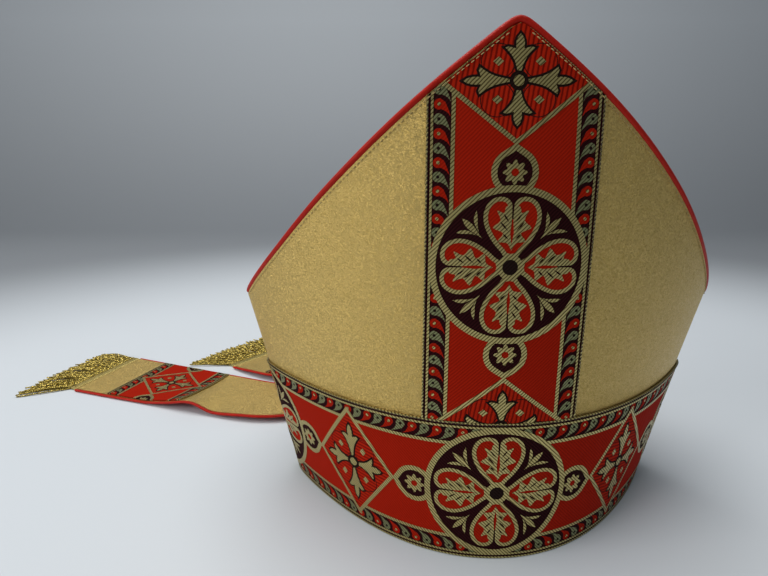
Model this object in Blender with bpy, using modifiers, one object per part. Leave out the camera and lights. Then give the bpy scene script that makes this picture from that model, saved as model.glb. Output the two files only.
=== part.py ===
"""Bishop's mitre standing on its rim, with its two fringed lappets laid out on the table behind it.

Lengths are metres, +Z is up and the front horn faces -Y. The stiff walls are pattern pieces wrapped
round the head: a point on them is given by its height and by its distance along the cloth from the
middle of the front or back.
"""
import functools
import math

import bmesh
import bpy
import numpy as np

# Shell: two stiff walls that meet at the side seams and rise to a pointed horn each.
HEAD_HALF_WIDTH = 0.1178
HEAD_HALF_DEPTH = 0.0854
HEIGHT = 0.270
CORNER_HEIGHT = 0.1255
WALL = 0.002
SEAM_GAP = 0.0003
SEAM_SOFTNESS_AT_RIM = 0.008
SEAM_SOFTNESS_AT_CORNER = 0.0035
CLEARANCE = 0.0003

# Galloon: the woven band of the circulus and of the upright orphreys.
GALLOON_WIDTH = 0.080
CIRCULUS_THICKNESS = 0.001
ORPHREY_THICKNESS = 0.0008
ORPHREY_EDGE_INSET = 0.0005

# Piping along the horns, and the soft gusset between them.
PIPING_RADIUS = 0.0016
PIPING_END_GAP = 0.0015
GUSSET_THICKNESS = 0.001
GUSSET_REACH = 0.955
GUSSET_SEAM_DROP = 0.0012
GUSSET_SEAM_DEPTH = 0.006
GUSSET_HANG_SHARE = 0.9
VALLEY_DROP = 0.009
VALLEY_RISE = 0.018
VALLEY_FOLDS = 3
VALLEY_FOLD_DEPTH = 0.006

# Lappets: lined strips sewn low on the back of the circulus and laid along the table.
LAPPET_LENGTH = 0.300
LAPPET_WIDTH = 0.074
LAPPET_ROOT_WIDTH = 0.058
LAPPET_ROOT_SPACING = 0.100
LAPPET_ROOT_HEIGHT = 0.022
LAPPET_BEND_RADIUS = 0.008
LAPPET_CLOTH = 0.001
LAPPET_LINING = 0.0008
LAPPET_PIPING_RADIUS = 0.0011
LAPPET_FOLD_LIFT = 0.008
LAPPET_STRAIGHTENING = 0.060
LAPPET_GALLOON_WIDTH = 0.074
LAPPET_GALLOON_THICKNESS = 0.0007
LAPPET_PLAN_STEPS = 300
LAPPET_GALLOON_TO_FRINGE = 0.038

# Fringe: a woven header with thick locks of twisted cord.
FRINGE_LENGTH = 0.050
FRINGE_HEADER = 0.010
FRINGE_THICKNESS = 0.0035
FRINGE_SPREAD = 1.36
FRINGE_LOCKS = 10
FRINGE_LOCK_FILL = 0.84
FRINGE_LOCK_TIP = 0.35

# Mesh fineness.
HALF_WALL_COLUMNS = 14
WALL_SEAM_COLUMNS = 3
WALL_SEAM_STRETCH = 0.014
WALL_ROWS = 9
CIRCULUS_ROWS = 3
ORPHREY_COLUMNS = 8
ORPHREY_ROWS = 8
PIPING_STEPS = 20
PIPING_TURN_STEPS = 4
GUSSET_COLUMNS = 12
GUSSET_DRAPE_ROWS = 6
LAPPET_STEP = 0.015
LAPPET_BEND_STEPS = 3
LAPPET_COLUMNS = 6
SECTION_SAMPLES = 241
SHARP_ANGLE = 40

# Steps to either side at which a direction on the cloth is measured: a length and a share.
PROBE = 0.0005
PROBE_SHARE = 0.02

FRONT = -1
BACK = 1

# Level sections of the shell. Height is a share of HEIGHT, half width and half depth are shares of
# the rim's. Fullness and sharpness are the powers in depth * (1 - across ** sharpness) ** fullness.
SHELL_SECTIONS = {
    "height": (0.00, 0.25, 0.50, 0.75, 1.00),
    "half_width": (1.000, 1.128, 1.265, 1.409, 1.563),
    "half_depth": (1.000, 0.977, 0.954, 0.913, 0.835),
    "fullness": (1.06, 1.01, 0.96, 0.91, 0.86),
    "sharpness": (2.07, 2.04, 2.01, 1.98, 1.95),
}

# Edge of a horn in the flat pattern: the drop from the point as a share of the height above the
# corners, and the distance from the middle as a share of that at the corners.
HORN_EDGE = {
    "across": (0.0, 0.265, 0.503, 0.736, 1.0),
    "drop": (0.0, 0.25, 0.50, 0.75, 1.0),
}

# Route of each lappet on the table: share of its length, heading in degrees from +X, and how far
# its left and right edges lift, as shares of LAPPET_FOLD_LIFT.
LEFT_LAPPET_ROUTE = {
    "along": (0.00, 0.10, 0.20, 0.30, 0.42, 0.50, 0.58, 0.66, 0.75, 1.00),
    "heading": (118, 158, 192, 202, 168, 161, 161, 161, 161, 160),
    "left_lift": (0.0, 0.7, 0.3, 0.5, 0.45, 0.25, 0.95, 0.45, 0.05, 0.0),
    "right_lift": (0.0, 0.0, 0.0, 0.0, 0.0, 0.0, 0.0, 0.0, 0.0, 0.0),
}
RIGHT_LAPPET_ROUTE = {
    "along": (0.00, 0.10, 0.20, 0.30, 0.50, 0.70, 0.78, 0.86, 0.93, 1.00),
    "heading": (62, 103, 142, 174, 180, 170, 163, 154, 147, 139),
    "left_lift": (0.0, 0.8, 0.7, 1.0, 1.4, 1.5, 1.25, 0.55, 0.38, 0.05),
    "right_lift": (0.0, 0.0, 0.1, 0.2, 0.3, 0.2, 0.1, 0.0, 0.0, 0.0),
}


def read_table(table, key, column, at):
    """Value of one column where the key column equals at, on smooth curves that never overshoot."""
    keys = np.asarray(table[key], float)
    values = np.asarray(table[column], float)
    spans = np.diff(keys)
    slopes = np.diff(values) / spans
    tangents = np.concatenate([slopes[:1], np.zeros(len(slopes) - 1), slopes[-1:]])
    for i in range(1, len(slopes)):
        before, after = slopes[i - 1], slopes[i]
        if before * after > 0:
            tangents[i] = 2 * before * after / (before + after)
    at = min(max(at, keys[0]), keys[-1])
    i = min(int(np.searchsorted(keys, at, side="right")) - 1, len(spans) - 1)
    t = (at - keys[i]) / spans[i]
    stay, leave = 2 * t**3 - 3 * t**2 + 1, t**3 - 2 * t**2 + t
    come, arrive = -2 * t**3 + 3 * t**2, t**3 - t**2
    return (stay * values[i] + come * values[i + 1]
            + spans[i] * (leave * tangents[i] + arrive * tangents[i + 1]))


@functools.lru_cache(maxsize=None)
def shell_section(height):
    """Half of a level section, from the middle of the front to the side seam.

    Returns the distance along the cloth, and the x, depth and outward normal there.
    """
    share = height / HEIGHT
    half_width = HEAD_HALF_WIDTH * read_table(SHELL_SECTIONS, "height", "half_width", share)
    half_depth = HEAD_HALF_DEPTH * read_table(SHELL_SECTIONS, "height", "half_depth", share)
    fullness = read_table(SHELL_SECTIONS, "height", "fullness", share)
    sharpness = read_table(SHELL_SECTIONS, "height", "sharpness", share)
    rise = min(height / CORNER_HEIGHT, 1.0)
    softness = SEAM_SOFTNESS_AT_RIM + rise * (SEAM_SOFTNESS_AT_CORNER - SEAM_SOFTNESS_AT_RIM)
    crown = math.hypot(half_depth, softness)
    reach = half_width / (1 - (softness / crown) ** (1 / fullness)) ** (1 / sharpness)
    x = half_width * np.sin(np.linspace(0, math.pi / 2, SECTION_SAMPLES))
    arch = crown * (1 - (x / reach) ** sharpness) ** fullness
    depth = np.sqrt(np.maximum(arch**2 - softness**2, 0))
    depth[-1] = 0.0
    along = np.concatenate([[0], np.cumsum(np.hypot(np.diff(x), np.diff(depth)))])
    slope_x = np.gradient(x, along)
    slope_depth = np.gradient(depth, along)
    size = np.hypot(slope_x, slope_depth)
    return along, x, depth, -slope_depth / size, slope_x / size


def half_girth(height):
    """Distance along the cloth from the middle of a wall to its side seam."""
    return shell_section(height)[0][-1]


def wall_point(side, height, across, outward=0.0):
    """Point on a wall's outer face, or outward of it, at a distance across from its middle."""
    along, x, depth, normal_x, normal_depth = shell_section(height)
    distance = min(abs(across), along[-1])
    px = np.interp(distance, along, x) + outward * np.interp(distance, along, normal_x)
    py = np.interp(distance, along, depth) + outward * np.interp(distance, along, normal_depth)
    return np.array([math.copysign(px, across), side * (py + SEAM_GAP / 2), height])


def horn_height(across):
    """Height of the horn's edge at a distance across from the middle of the wall."""
    share = min(abs(across) / half_girth(CORNER_HEIGHT), 1.0)
    drop = read_table(HORN_EDGE, "across", "drop", share)
    return HEIGHT - drop * (HEIGHT - CORNER_HEIGHT)


def column_shares():
    """Shares of the half girth at which walls are sampled, closer together at the side seam."""
    plain = HALF_WALL_COLUMNS - WALL_SEAM_COLUMNS
    seam = WALL_SEAM_STRETCH / half_girth(0.0)
    by_the_seam = np.linspace(1 - seam, 1, WALL_SEAM_COLUMNS + 1)
    return np.concatenate([np.linspace(0, 1 - seam, plain + 1), by_the_seam[1:]])


def even_steps(start, end, step):
    """Evenly spaced distances from start to end, about one step apart."""
    return np.linspace(start, end, max(round((end - start) / step), 1) + 1)


def finish(name, color, roughness, metallic):
    """Principled material with one colour."""
    material = bpy.data.materials.new(name)
    material.use_nodes = True
    shader = material.node_tree.nodes["Principled BSDF"]
    shader.inputs["Base Color"].default_value = (*color, 1.0)
    shader.inputs["Roughness"].default_value = roughness
    shader.inputs["Metallic"].default_value = metallic
    return material


def add_object(name, data, material):
    """Object in the mitre's collection, under the frame empty."""
    obj = bpy.data.objects.new(name, data)
    data.materials.append(material)
    collection.objects.link(obj)
    obj.parent = frame
    return obj


def grid_mesh(name, rows, closed=False):
    """Open quad surface through rows of points; its faces look along (row step) x (column step)."""
    mesh = bpy.data.meshes.new(name)
    bm = bmesh.new()
    grid = [[bm.verts.new(point) for point in row] for row in rows]
    columns = len(grid[0])
    for low, high in zip(grid, grid[1:]):
        for i in range(columns if closed else columns - 1):
            j = (i + 1) % columns
            bm.faces.new((low[i], high[i], high[j], low[j]))
    bm.to_mesh(mesh)
    bm.free()
    return mesh


def thicken(obj, thickness, outward=True):
    """Give an open surface its wall, on the side that its faces look to or on the other."""
    solid = obj.modifiers.new("Thickness", "SOLIDIFY")
    solid.thickness = thickness
    solid.offset = 1.0 if outward else -1.0
    solid.use_even_offset = True
    solid.use_quality_normals = True
    return solid


def mirror(obj, across_x=False, across_y=False):
    """Complete a symmetric surface from the part that ends at the plane."""
    half = obj.modifiers.new("Other half", "MIRROR")
    half.use_axis = (across_x, across_y, False)
    half.use_clip = True
    half.merge_threshold = 0.00001
    return half


def shade(obj):
    """Round faces look round, and folds sharper than this stay crisp."""
    obj.data.shade_smooth()
    obj.data.set_sharp_from_angle(angle=math.radians(SHARP_ANGLE))


def bake_level_foot(obj, foot, side=None):
    """Apply the modifiers, then trim the lower edge level, and a wall's side edges at its seam."""
    bpy.context.view_layer.update()
    evaluated = obj.evaluated_get(bpy.context.evaluated_depsgraph_get())
    mesh = bpy.data.meshes.new_from_object(evaluated)
    for vertex in mesh.vertices:
        if vertex.co.z < foot + WALL:
            vertex.co.z = foot
        if side and vertex.co.y * side < SEAM_GAP / 2:
            vertex.co.y = side * SEAM_GAP / 2
    obj.modifiers.clear()
    obj.data = mesh
    shade(obj)


def make_panel(name, side, material):
    """Stiff wall of one horn: half of its pattern, mirrored, with the thickness inside."""
    rows = []
    for r in range(WALL_ROWS + 1):
        row = []
        for share in column_shares():
            top = horn_height(share * half_girth(CORNER_HEIGHT))
            height = top * r / WALL_ROWS
            across = share * half_girth(min(height, CORNER_HEIGHT))
            row.append(wall_point(side, height, across))
        rows.append(row if side == BACK else row[::-1])
    obj = add_object(name, grid_mesh(name, rows), material)
    mirror(obj, across_x=True)
    thicken(obj, WALL, outward=False)
    bake_level_foot(obj, 0.0, side)
    return obj


def make_circulus(material):
    """Band of galloon round the rim: one closed loop just outside both walls."""
    shares = column_shares()
    around = [(FRONT, share) for share in -shares[::-1]] + [(FRONT, share) for share in shares[1:]]
    around += [(BACK, share) for share in shares[-2::-1]] + [(BACK, -share) for share in shares[1:-1]]
    rows = []
    for height in np.linspace(CLEARANCE, GALLOON_WIDTH, CIRCULUS_ROWS + 1):
        row = [wall_point(side, height, share * half_girth(height), CLEARANCE) for side, share in around]
        for point, (_, share) in zip(row, around):
            if abs(share) == 1:
                point[1] = 0.0
        rows.append(row[::-1])
    obj = add_object("circulus", grid_mesh("circulus", rows, closed=True), material)
    thicken(obj, CIRCULUS_THICKNESS)
    bake_level_foot(obj, CLEARANCE)
    return obj


def make_orphrey(name, side, material):
    """Upright band of galloon from the circulus to the horn's edges."""
    bottom = GALLOON_WIDTH + CLEARANCE
    rows = []
    for r in range(ORPHREY_ROWS + 1):
        row = []
        for across in np.linspace(-GALLOON_WIDTH / 2, GALLOON_WIDTH / 2, ORPHREY_COLUMNS + 1):
            top = horn_height(across) - ORPHREY_EDGE_INSET
            height = bottom + (top - bottom) * r / ORPHREY_ROWS
            row.append(wall_point(side, height, across, CLEARANCE))
        rows.append(row if side == BACK else row[::-1])
    obj = add_object(name, grid_mesh(name, rows), material)
    thicken(obj, ORPHREY_THICKNESS)
    shade(obj)
    return obj


def make_tube(name, points, radius, sides_step, material):
    """Cord of one radius through a row of points, with closed ends."""
    curve = bpy.data.curves.new(name, "CURVE")
    curve.dimensions = "3D"
    curve.bevel_depth = radius
    curve.bevel_resolution = sides_step
    curve.use_fill_caps = True
    spline = curve.splines.new("POLY")
    spline.points.add(len(points) - 1)
    for target, point in zip(spline.points, points):
        target.co = (*point, 1.0)
    return add_object(name, curve, material)


def make_horn_piping(name, side, material):
    """Red cord that sits on the horn's edge from one corner over the point to the other."""
    reach = half_girth(CORNER_HEIGHT)
    seat = PIPING_RADIUS + CLEARANCE

    def edge(across):
        return wall_point(side, horn_height(across), across, -WALL / 2)

    def away(across):
        """Unit vector in the wall that points off its edge, just right of the point."""
        low, high = max(across - PROBE, 0.0), min(across + PROBE, reach)
        along = edge(high) - edge(low)
        distances, _, _, normal_x, normal_depth = shell_section(horn_height(across))
        facing_x = np.interp(across, distances, normal_x)
        facing = np.array([facing_x, side * np.interp(across, distances, normal_depth), 0])
        off = np.cross(along, facing) * side
        return off / np.linalg.norm(off)

    half = []
    lean = math.atan2(away(0.0)[0], away(0.0)[2])
    for turn in np.linspace(0, lean, PIPING_TURN_STEPS + 1)[1:-1]:
        half.append(edge(0.0) + seat * np.array([math.sin(turn), 0, math.cos(turn)]))
    for across in np.linspace(0, reach, PIPING_STEPS + 1):
        half.append(edge(across) + seat * away(across))
    half = [point for point in half if abs(point[1]) > PIPING_END_GAP]
    left = [point * np.array([-1, 1, 1]) for point in half[::-1]]
    peak = edge(0.0) + seat * np.array([0, 0, 1])
    return make_tube(name, left + [peak] + half, PIPING_RADIUS, 2, material)


def valley_point(share):
    """Lowest line of the gusset, from the middle towards a corner, with its soft folds."""
    level = CORNER_HEIGHT - VALLEY_DROP + VALLEY_RISE * (1 - share**2)
    fold = math.cos(2 * math.pi * VALLEY_FOLDS * share) * VALLEY_FOLD_DEPTH * (1 - share**4)
    corner = shell_section(CORNER_HEIGHT)[1][-1] - WALL
    return np.array([share * corner, 0.0, level + fold])


def make_gusset(material):
    """Soft cloth between the horns: sewn in along both edges, and falling to a valley in the middle."""
    reach = half_girth(CORNER_HEIGHT)
    inside = -(WALL + CLEARANCE)
    shares = np.linspace(0, GUSSET_REACH, GUSSET_COLUMNS + 1)
    columns = []
    for share in shares:
        across = share * reach
        seam = horn_height(across) - GUSSET_SEAM_DROP
        top = wall_point(FRONT, seam, across, inside)
        bottom = wall_point(FRONT, seam - GUSSET_SEAM_DEPTH, across, inside)
        valley = valley_point(share)
        hang = bottom + (bottom - top) * 2
        hang[1] *= GUSSET_HANG_SHARE
        column = [top]
        for t in np.linspace(0, 1, GUSSET_DRAPE_ROWS + 1):
            column.append((1 - t) ** 2 * bottom + 2 * t * (1 - t) * hang + t**2 * valley)
        columns.append(column)
    rows = list(zip(*columns))
    obj = add_object("gusset", grid_mesh("gusset", rows[::-1]), material)
    mirror(obj, across_x=True, across_y=True)
    thicken(obj, GUSSET_THICKNESS)
    shade(obj)
    return obj


class Lappet:
    """Underside of one lappet, from its sewn root to its fringe."""

    def __init__(self, name, root_side, route):
        self.name = name
        self.route = route
        self.root_across = root_side * LAPPET_ROOT_SPACING / 2
        self.start = math.radians(route["heading"][0])
        self.bend = LAPPET_BEND_RADIUS * math.pi / 2
        self.flap = LAPPET_ROOT_HEIGHT - LAPPET_BEND_RADIUS
        self.trace_plan()

    def trace_plan(self):
        """Middle line on the table, from the headings."""
        step = LAPPET_LENGTH / LAPPET_PLAN_STEPS
        foot = self.root_point(0.0, LAPPET_BEND_RADIUS)[:2]
        foot = foot + LAPPET_BEND_RADIUS * np.array([math.cos(self.start), math.sin(self.start)])
        self.middle = [foot]
        for i in range(LAPPET_PLAN_STEPS):
            heading = self.heading((i + 0.5) / LAPPET_PLAN_STEPS)
            self.middle.append(self.middle[-1] + step * np.array([math.cos(heading), math.sin(heading)]))
        self.middle = np.array(self.middle)

    def heading(self, share):
        return math.radians(read_table(self.route, "along", "heading", share))

    def root_point(self, u, height):
        """Point on the outer face of the circulus, behind the sewn root; u runs from -1 to 1, left."""
        out = CLEARANCE + CIRCULUS_THICKNESS + CLEARANCE
        return wall_point(BACK, height, self.root_across - u * LAPPET_ROOT_WIDTH / 2, out)

    def plan_point(self, u, share):
        """Place on the table of the point u across at a share of the length."""
        at = share * LAPPET_PLAN_STEPS
        i = min(int(at), LAPPET_PLAN_STEPS - 1)
        middle = self.middle[i] + (at - i) * (self.middle[i + 1] - self.middle[i])
        heading = self.heading(share)
        width = LAPPET_ROOT_WIDTH + share * (LAPPET_WIDTH - LAPPET_ROOT_WIDTH)
        left = np.array([-math.sin(heading), math.cos(heading)])
        start_left = np.array([-math.sin(self.start), math.cos(self.start)])
        bow = self.root_point(u, LAPPET_BEND_RADIUS) - self.root_point(0.0, LAPPET_BEND_RADIUS)
        bow = bow[:2] - u * LAPPET_ROOT_WIDTH / 2 * start_left
        straight = min(share * LAPPET_LENGTH / LAPPET_STRAIGHTENING, 1.0)
        return middle + u * width / 2 * left + bow * (1 - straight) ** 2

    def lift(self, u, share):
        """Height of the underside above the table."""
        left = read_table(self.route, "along", "left_lift", share)
        right = read_table(self.route, "along", "right_lift", share)
        return LAPPET_FOLD_LIFT * (left * ((1 + u) / 2) ** 2 + right * ((1 - u) / 2) ** 2)

    def point(self, u, run):
        """Point of the underside at a distance along the cloth from the top of the root."""
        if run <= self.flap:
            return self.root_point(u, LAPPET_ROOT_HEIGHT - run)
        if run < self.flap + self.bend:
            angle = (run - self.flap) / LAPPET_BEND_RADIUS
            point = self.root_point(u, LAPPET_BEND_RADIUS)
            out = LAPPET_BEND_RADIUS * (1 - math.cos(angle))
            point += out * np.array([math.cos(self.start), math.sin(self.start), 0])
            point[2] = LAPPET_BEND_RADIUS * (1 - math.sin(angle))
            return point
        share = (run - self.flap - self.bend) / LAPPET_LENGTH
        return np.array([*self.plan_point(u, min(share, 1.0)), self.lift(u, min(share, 1.0))])

    def frame_at(self, u, run):
        """Unit vectors to the left and up off the cloth."""
        ends = (max(run - PROBE, 0), min(run + PROBE, self.length()))
        sides = (max(u - PROBE_SHARE, -1), min(u + PROBE_SHARE, 1))
        left = self.point(sides[1], run) - self.point(sides[0], run)
        ahead = self.point(u, ends[1]) - self.point(u, ends[0])
        left /= np.linalg.norm(left)
        up = np.cross(ahead, left)
        return left, up / np.linalg.norm(up)

    def raised(self, u, run, up):
        return self.point(u, run) + up * self.frame_at(u, run)[1]

    def length(self):
        return self.flap + self.bend + LAPPET_LENGTH

    def galloon_stations(self):
        """Distances along the cloth that the piece of galloon covers."""
        end = self.length() - LAPPET_GALLOON_TO_FRINGE
        return even_steps(end - LAPPET_GALLOON_WIDTH, end, LAPPET_STEP)

    def stations(self):
        """Distances along the cloth at which it is sampled, the galloon's among them."""
        foot = self.flap + self.bend
        galloon = self.galloon_stations()
        bend = np.linspace(self.flap, foot, LAPPET_BEND_STEPS + 1)
        before = even_steps(foot, galloon[0], LAPPET_STEP)
        after = even_steps(galloon[-1], self.length(), LAPPET_STEP)
        return np.concatenate([[0.0], bend[:-1], before[:-1], galloon, after[1:]])

    def sheet(self, name, runs, up, thickness, material):
        """One layer of the lappet, from up above the underside to up + thickness."""
        across = np.linspace(-1, 1, LAPPET_COLUMNS + 1)
        rows = [[self.raised(u, run, up) for u in across] for run in runs]
        obj = add_object(name, grid_mesh(name, rows), material)
        thicken(obj, thickness)
        shade(obj)
        return obj

    def edge_piping(self, name, u, material):
        """Cord along one long edge."""
        seat = LAPPET_PIPING_RADIUS + CLEARANCE
        points = []
        for run in self.stations():
            left, up = self.frame_at(u, run)
            points.append(self.point(u, run) + u * seat * left + LAPPET_PIPING_RADIUS * up)
        return make_tube(name, points, LAPPET_PIPING_RADIUS, 1, material)


def make_fringe(lappet, material):
    """Header with a row of spreading locks, cut as one outline and raised to its thickness."""
    pitch = LAPPET_WIDTH / FRINGE_LOCKS
    half = pitch * FRINGE_LOCK_FILL / 2
    tip_half = half * FRINGE_SPREAD
    outline = [(0.0, -LAPPET_WIDTH / 2), (FRINGE_HEADER, -LAPPET_WIDTH / 2)]
    for lock in range(FRINGE_LOCKS):
        root = (lock + 0.5) * pitch - LAPPET_WIDTH / 2
        tip = root * FRINGE_SPREAD
        shorter = abs(tip - root) ** 2 / (2 * FRINGE_LENGTH)
        shoulder = FRINGE_LENGTH - shorter - tip_half * FRINGE_LOCK_TIP
        outline += [(FRINGE_HEADER, root - half), (shoulder, tip - tip_half)]
        outline += [(FRINGE_LENGTH - shorter, tip - tip_half / 2)]
        outline += [(FRINGE_LENGTH - shorter, tip + tip_half / 2)]
        outline += [(shoulder, tip + tip_half), (FRINGE_HEADER, root + half)]
    outline += [(FRINGE_HEADER, LAPPET_WIDTH / 2), (0.0, LAPPET_WIDTH / 2)]
    end = lappet.middle[-1]
    heading = lappet.heading(1.0)
    ahead = np.array([math.cos(heading), math.sin(heading)])
    left = np.array([-math.sin(heading), math.cos(heading)])
    name = lappet.name + "_fringe"
    bm = bmesh.new()
    corners = [end + ahead * (x + CLEARANCE) + left * y for x, y in outline]
    face = bm.faces.new([bm.verts.new((*corner, 0.0)) for corner in corners])
    raised = bmesh.ops.extrude_face_region(bm, geom=[face])["geom"]
    top = [item for item in raised if isinstance(item, bmesh.types.BMVert)]
    bmesh.ops.translate(bm, verts=top, vec=(0, 0, FRINGE_THICKNESS))
    bmesh.ops.recalc_face_normals(bm, faces=bm.faces)
    mesh = bpy.data.meshes.new(name)
    bm.to_mesh(mesh)
    bm.free()
    return add_object(name, mesh, material)


def make_lappet(lappet, gold, red, woven, bullion):
    """Gold cloth over a red lining, with piped edges, a piece of galloon and a fringe."""
    name = lappet.name
    over = LAPPET_LINING + CLEARANCE
    lappet.sheet(name + "_lining", lappet.stations(), 0.0, LAPPET_LINING, red)
    lappet.sheet(name + "_cloth", lappet.stations(), over, LAPPET_CLOTH, gold)
    lappet.edge_piping(name + "_left_piping", 1.0, red)
    lappet.edge_piping(name + "_right_piping", -1.0, red)
    on_cloth = over + LAPPET_CLOTH + CLEARANCE
    lappet.sheet(name + "_galloon", lappet.galloon_stations(), on_cloth, LAPPET_GALLOON_THICKNESS, woven)
    make_fringe(lappet, bullion)


def centre_over_origin():
    """Move the whole mitre so that the middle of its footprint is the origin."""
    bpy.context.view_layer.update()
    depsgraph = bpy.context.evaluated_depsgraph_get()
    corners = []
    for obj in collection.objects:
        if obj.type in {"MESH", "CURVE"}:
            mesh = obj.evaluated_get(depsgraph).to_mesh()
            corners += [obj.matrix_world @ vertex.co for vertex in mesh.vertices]
    spread = np.array(corners)
    middle = (spread.min(axis=0) + spread.max(axis=0)) / 2
    frame.location = (-middle[0], -middle[1], 0.0)
    print("front of the head opening is at y =", round(-HEAD_HALF_DEPTH - SEAM_GAP / 2 - middle[1], 6))
    print("middle of the head opening is at", np.round(-middle[:2], 6))


for old in list(bpy.data.objects):
    bpy.data.objects.remove(old, do_unlink=True)
collection = bpy.data.collections.new("bishop_mitre")
bpy.context.scene.collection.children.link(collection)
frame = bpy.data.objects.new("mitre_frame", None)
collection.objects.link(frame)

gold_cloth = finish("gold_cloth", (0.42, 0.33, 0.15), 0.45, 0.5)
red_cord = finish("red_cord", (0.50, 0.02, 0.015), 0.6, 0.0)
red_lining = finish("red_lining", (0.45, 0.015, 0.01), 0.7, 0.0)
galloon = finish("galloon", (0.38, 0.03, 0.015), 0.6, 0.0)
gold_bullion = finish("gold_bullion", (0.50, 0.38, 0.08), 0.3, 0.9)

make_panel("front_panel", FRONT, gold_cloth)
make_panel("back_panel", BACK, gold_cloth)
make_circulus(galloon)
make_orphrey("front_orphrey", FRONT, galloon)
make_orphrey("back_orphrey", BACK, galloon)
make_horn_piping("front_piping", FRONT, red_cord)
make_horn_piping("back_piping", BACK, red_cord)
make_gusset(red_lining)
left_lappet = Lappet("left_lappet", -1, LEFT_LAPPET_ROUTE)
right_lappet = Lappet("right_lappet", 1, RIGHT_LAPPET_ROUTE)
for lappet in (left_lappet, right_lappet):
    make_lappet(lappet, gold_cloth, red_lining, galloon, gold_bullion)
centre_over_origin()
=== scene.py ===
# %% [markdown]
# # A bishop's mitre in gold cloth and woven galloon
#
# A mitre is two stiff walls of gold cloth that wrap the head, meet at the sides and rise to a pointed
# horn each. A woven band, the galloon, runs round the rim as the circulus and up each horn as the
# orphrey. Red cord pipes the horns, a soft gusset folds between them, and two fringed lappets hang
# from the back, laid out here on the table.
#
# The solids that the object is made of come in first, already in their places. This lesson dresses
# them. Every length is in metres, +Z is up and the front horn faces -Y.

import math
import random

import bpy
import numpy as np
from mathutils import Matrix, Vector
from mathutils.geometry import delaunay_2d_cdt


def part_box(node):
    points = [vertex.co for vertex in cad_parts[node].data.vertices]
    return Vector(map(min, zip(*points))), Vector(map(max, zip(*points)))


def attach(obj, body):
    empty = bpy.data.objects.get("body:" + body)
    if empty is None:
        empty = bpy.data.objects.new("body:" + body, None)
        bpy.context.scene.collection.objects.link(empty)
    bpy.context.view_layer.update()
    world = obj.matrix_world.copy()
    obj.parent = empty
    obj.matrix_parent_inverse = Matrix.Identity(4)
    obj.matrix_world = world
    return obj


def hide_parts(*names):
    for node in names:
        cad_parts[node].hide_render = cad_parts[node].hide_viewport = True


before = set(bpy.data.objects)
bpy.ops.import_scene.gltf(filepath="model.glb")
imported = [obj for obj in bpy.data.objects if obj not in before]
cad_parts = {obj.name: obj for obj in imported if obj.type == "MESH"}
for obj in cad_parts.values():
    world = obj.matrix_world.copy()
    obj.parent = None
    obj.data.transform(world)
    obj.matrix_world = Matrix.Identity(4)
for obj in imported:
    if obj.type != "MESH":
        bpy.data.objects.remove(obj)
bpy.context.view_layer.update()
random.seed(7)

# %% [markdown]
# ## The pattern pieces of the walls
#
# On the real mitre a wall is buckram cut flat, covered with cloth and bent round the head. So a place
# on it is best told as a tailor would: how high it is, and how far it lies from the middle, measured
# along the cloth. The formula below bends that flat pattern into the shell. It is the one that the
# solids were made with, so cloth that is laid on it lies on them too.

# %% Sizes of the shell
HEAD_HALF_WIDTH = 0.1178
HEAD_HALF_DEPTH = 0.0854
HEIGHT = 0.270
CORNER_HEIGHT = 0.1255
WALL = 0.002
SEAM_GAP = 0.0003
SEAM_SOFTNESS_AT_RIM = 0.008
SEAM_SOFTNESS_AT_CORNER = 0.0035
CLEARANCE = 0.0003
FRONT, BACK = -1, 1

rim_low, rim_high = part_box("circulus")
HEAD_CENTRE = np.array((rim_low + rim_high) / 2)[:2]

# Level sections. Height is a share of HEIGHT, half width and half depth are shares of the rim's.
# Fullness and sharpness are the powers in depth * (1 - across ** sharpness) ** fullness.
SHELL_SECTIONS = {
    "height": (0.00, 0.25, 0.50, 0.75, 1.00),
    "half_width": (1.000, 1.128, 1.265, 1.409, 1.563),
    "half_depth": (1.000, 0.977, 0.954, 0.913, 0.835),
    "fullness": (1.06, 1.01, 0.96, 0.91, 0.86),
    "sharpness": (2.07, 2.04, 2.01, 1.98, 1.95),
}

# Edge of a horn in the flat: drop from the point as a share of the height above the corners, and
# distance from the middle as a share of that at the corners.
HORN_EDGE = {
    "across": (0.0, 0.265, 0.503, 0.736, 1.0),
    "drop": (0.0, 0.25, 0.50, 0.75, 1.0),
}
print("the head opening is centred at", HEAD_CENTRE.round(4))

# %% Read a column of a table on a smooth curve
def read_table(table, key, column, at):
    """Value of one column where the key column equals at, on curves that never overshoot."""
    keys = np.asarray(table[key], float)
    values = np.asarray(table[column], float)
    spans = np.diff(keys)
    slopes = np.diff(values) / spans
    tangents = np.concatenate([slopes[:1], np.zeros(len(slopes) - 1), slopes[-1:]])
    for i in range(1, len(slopes)):
        before, after = slopes[i - 1], slopes[i]
        if before * after > 0:
            tangents[i] = 2 * before * after / (before + after)
    at = np.clip(at, keys[0], keys[-1])
    i = np.minimum(np.searchsorted(keys, at, side="right") - 1, len(spans) - 1)
    t = (at - keys[i]) / spans[i]
    stay, leave = 2 * t**3 - 3 * t**2 + 1, t**3 - 2 * t**2 + t
    come, arrive = -2 * t**3 + 3 * t**2, t**3 - t**2
    return (stay * values[i] + come * values[i + 1]
            + spans[i] * (leave * tangents[i] + arrive * tangents[i + 1]))


middle_width = float(read_table(SHELL_SECTIONS, "height", "half_width", 0.5))
print("half width at mid height:", round(middle_width, 3), "of the rim's")

# %% Sample the shell once, as tables by height and share of the half girth
LEVELS = np.linspace(0, HEIGHT, 181)
SHARES = np.linspace(0, 1, 481)


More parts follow.
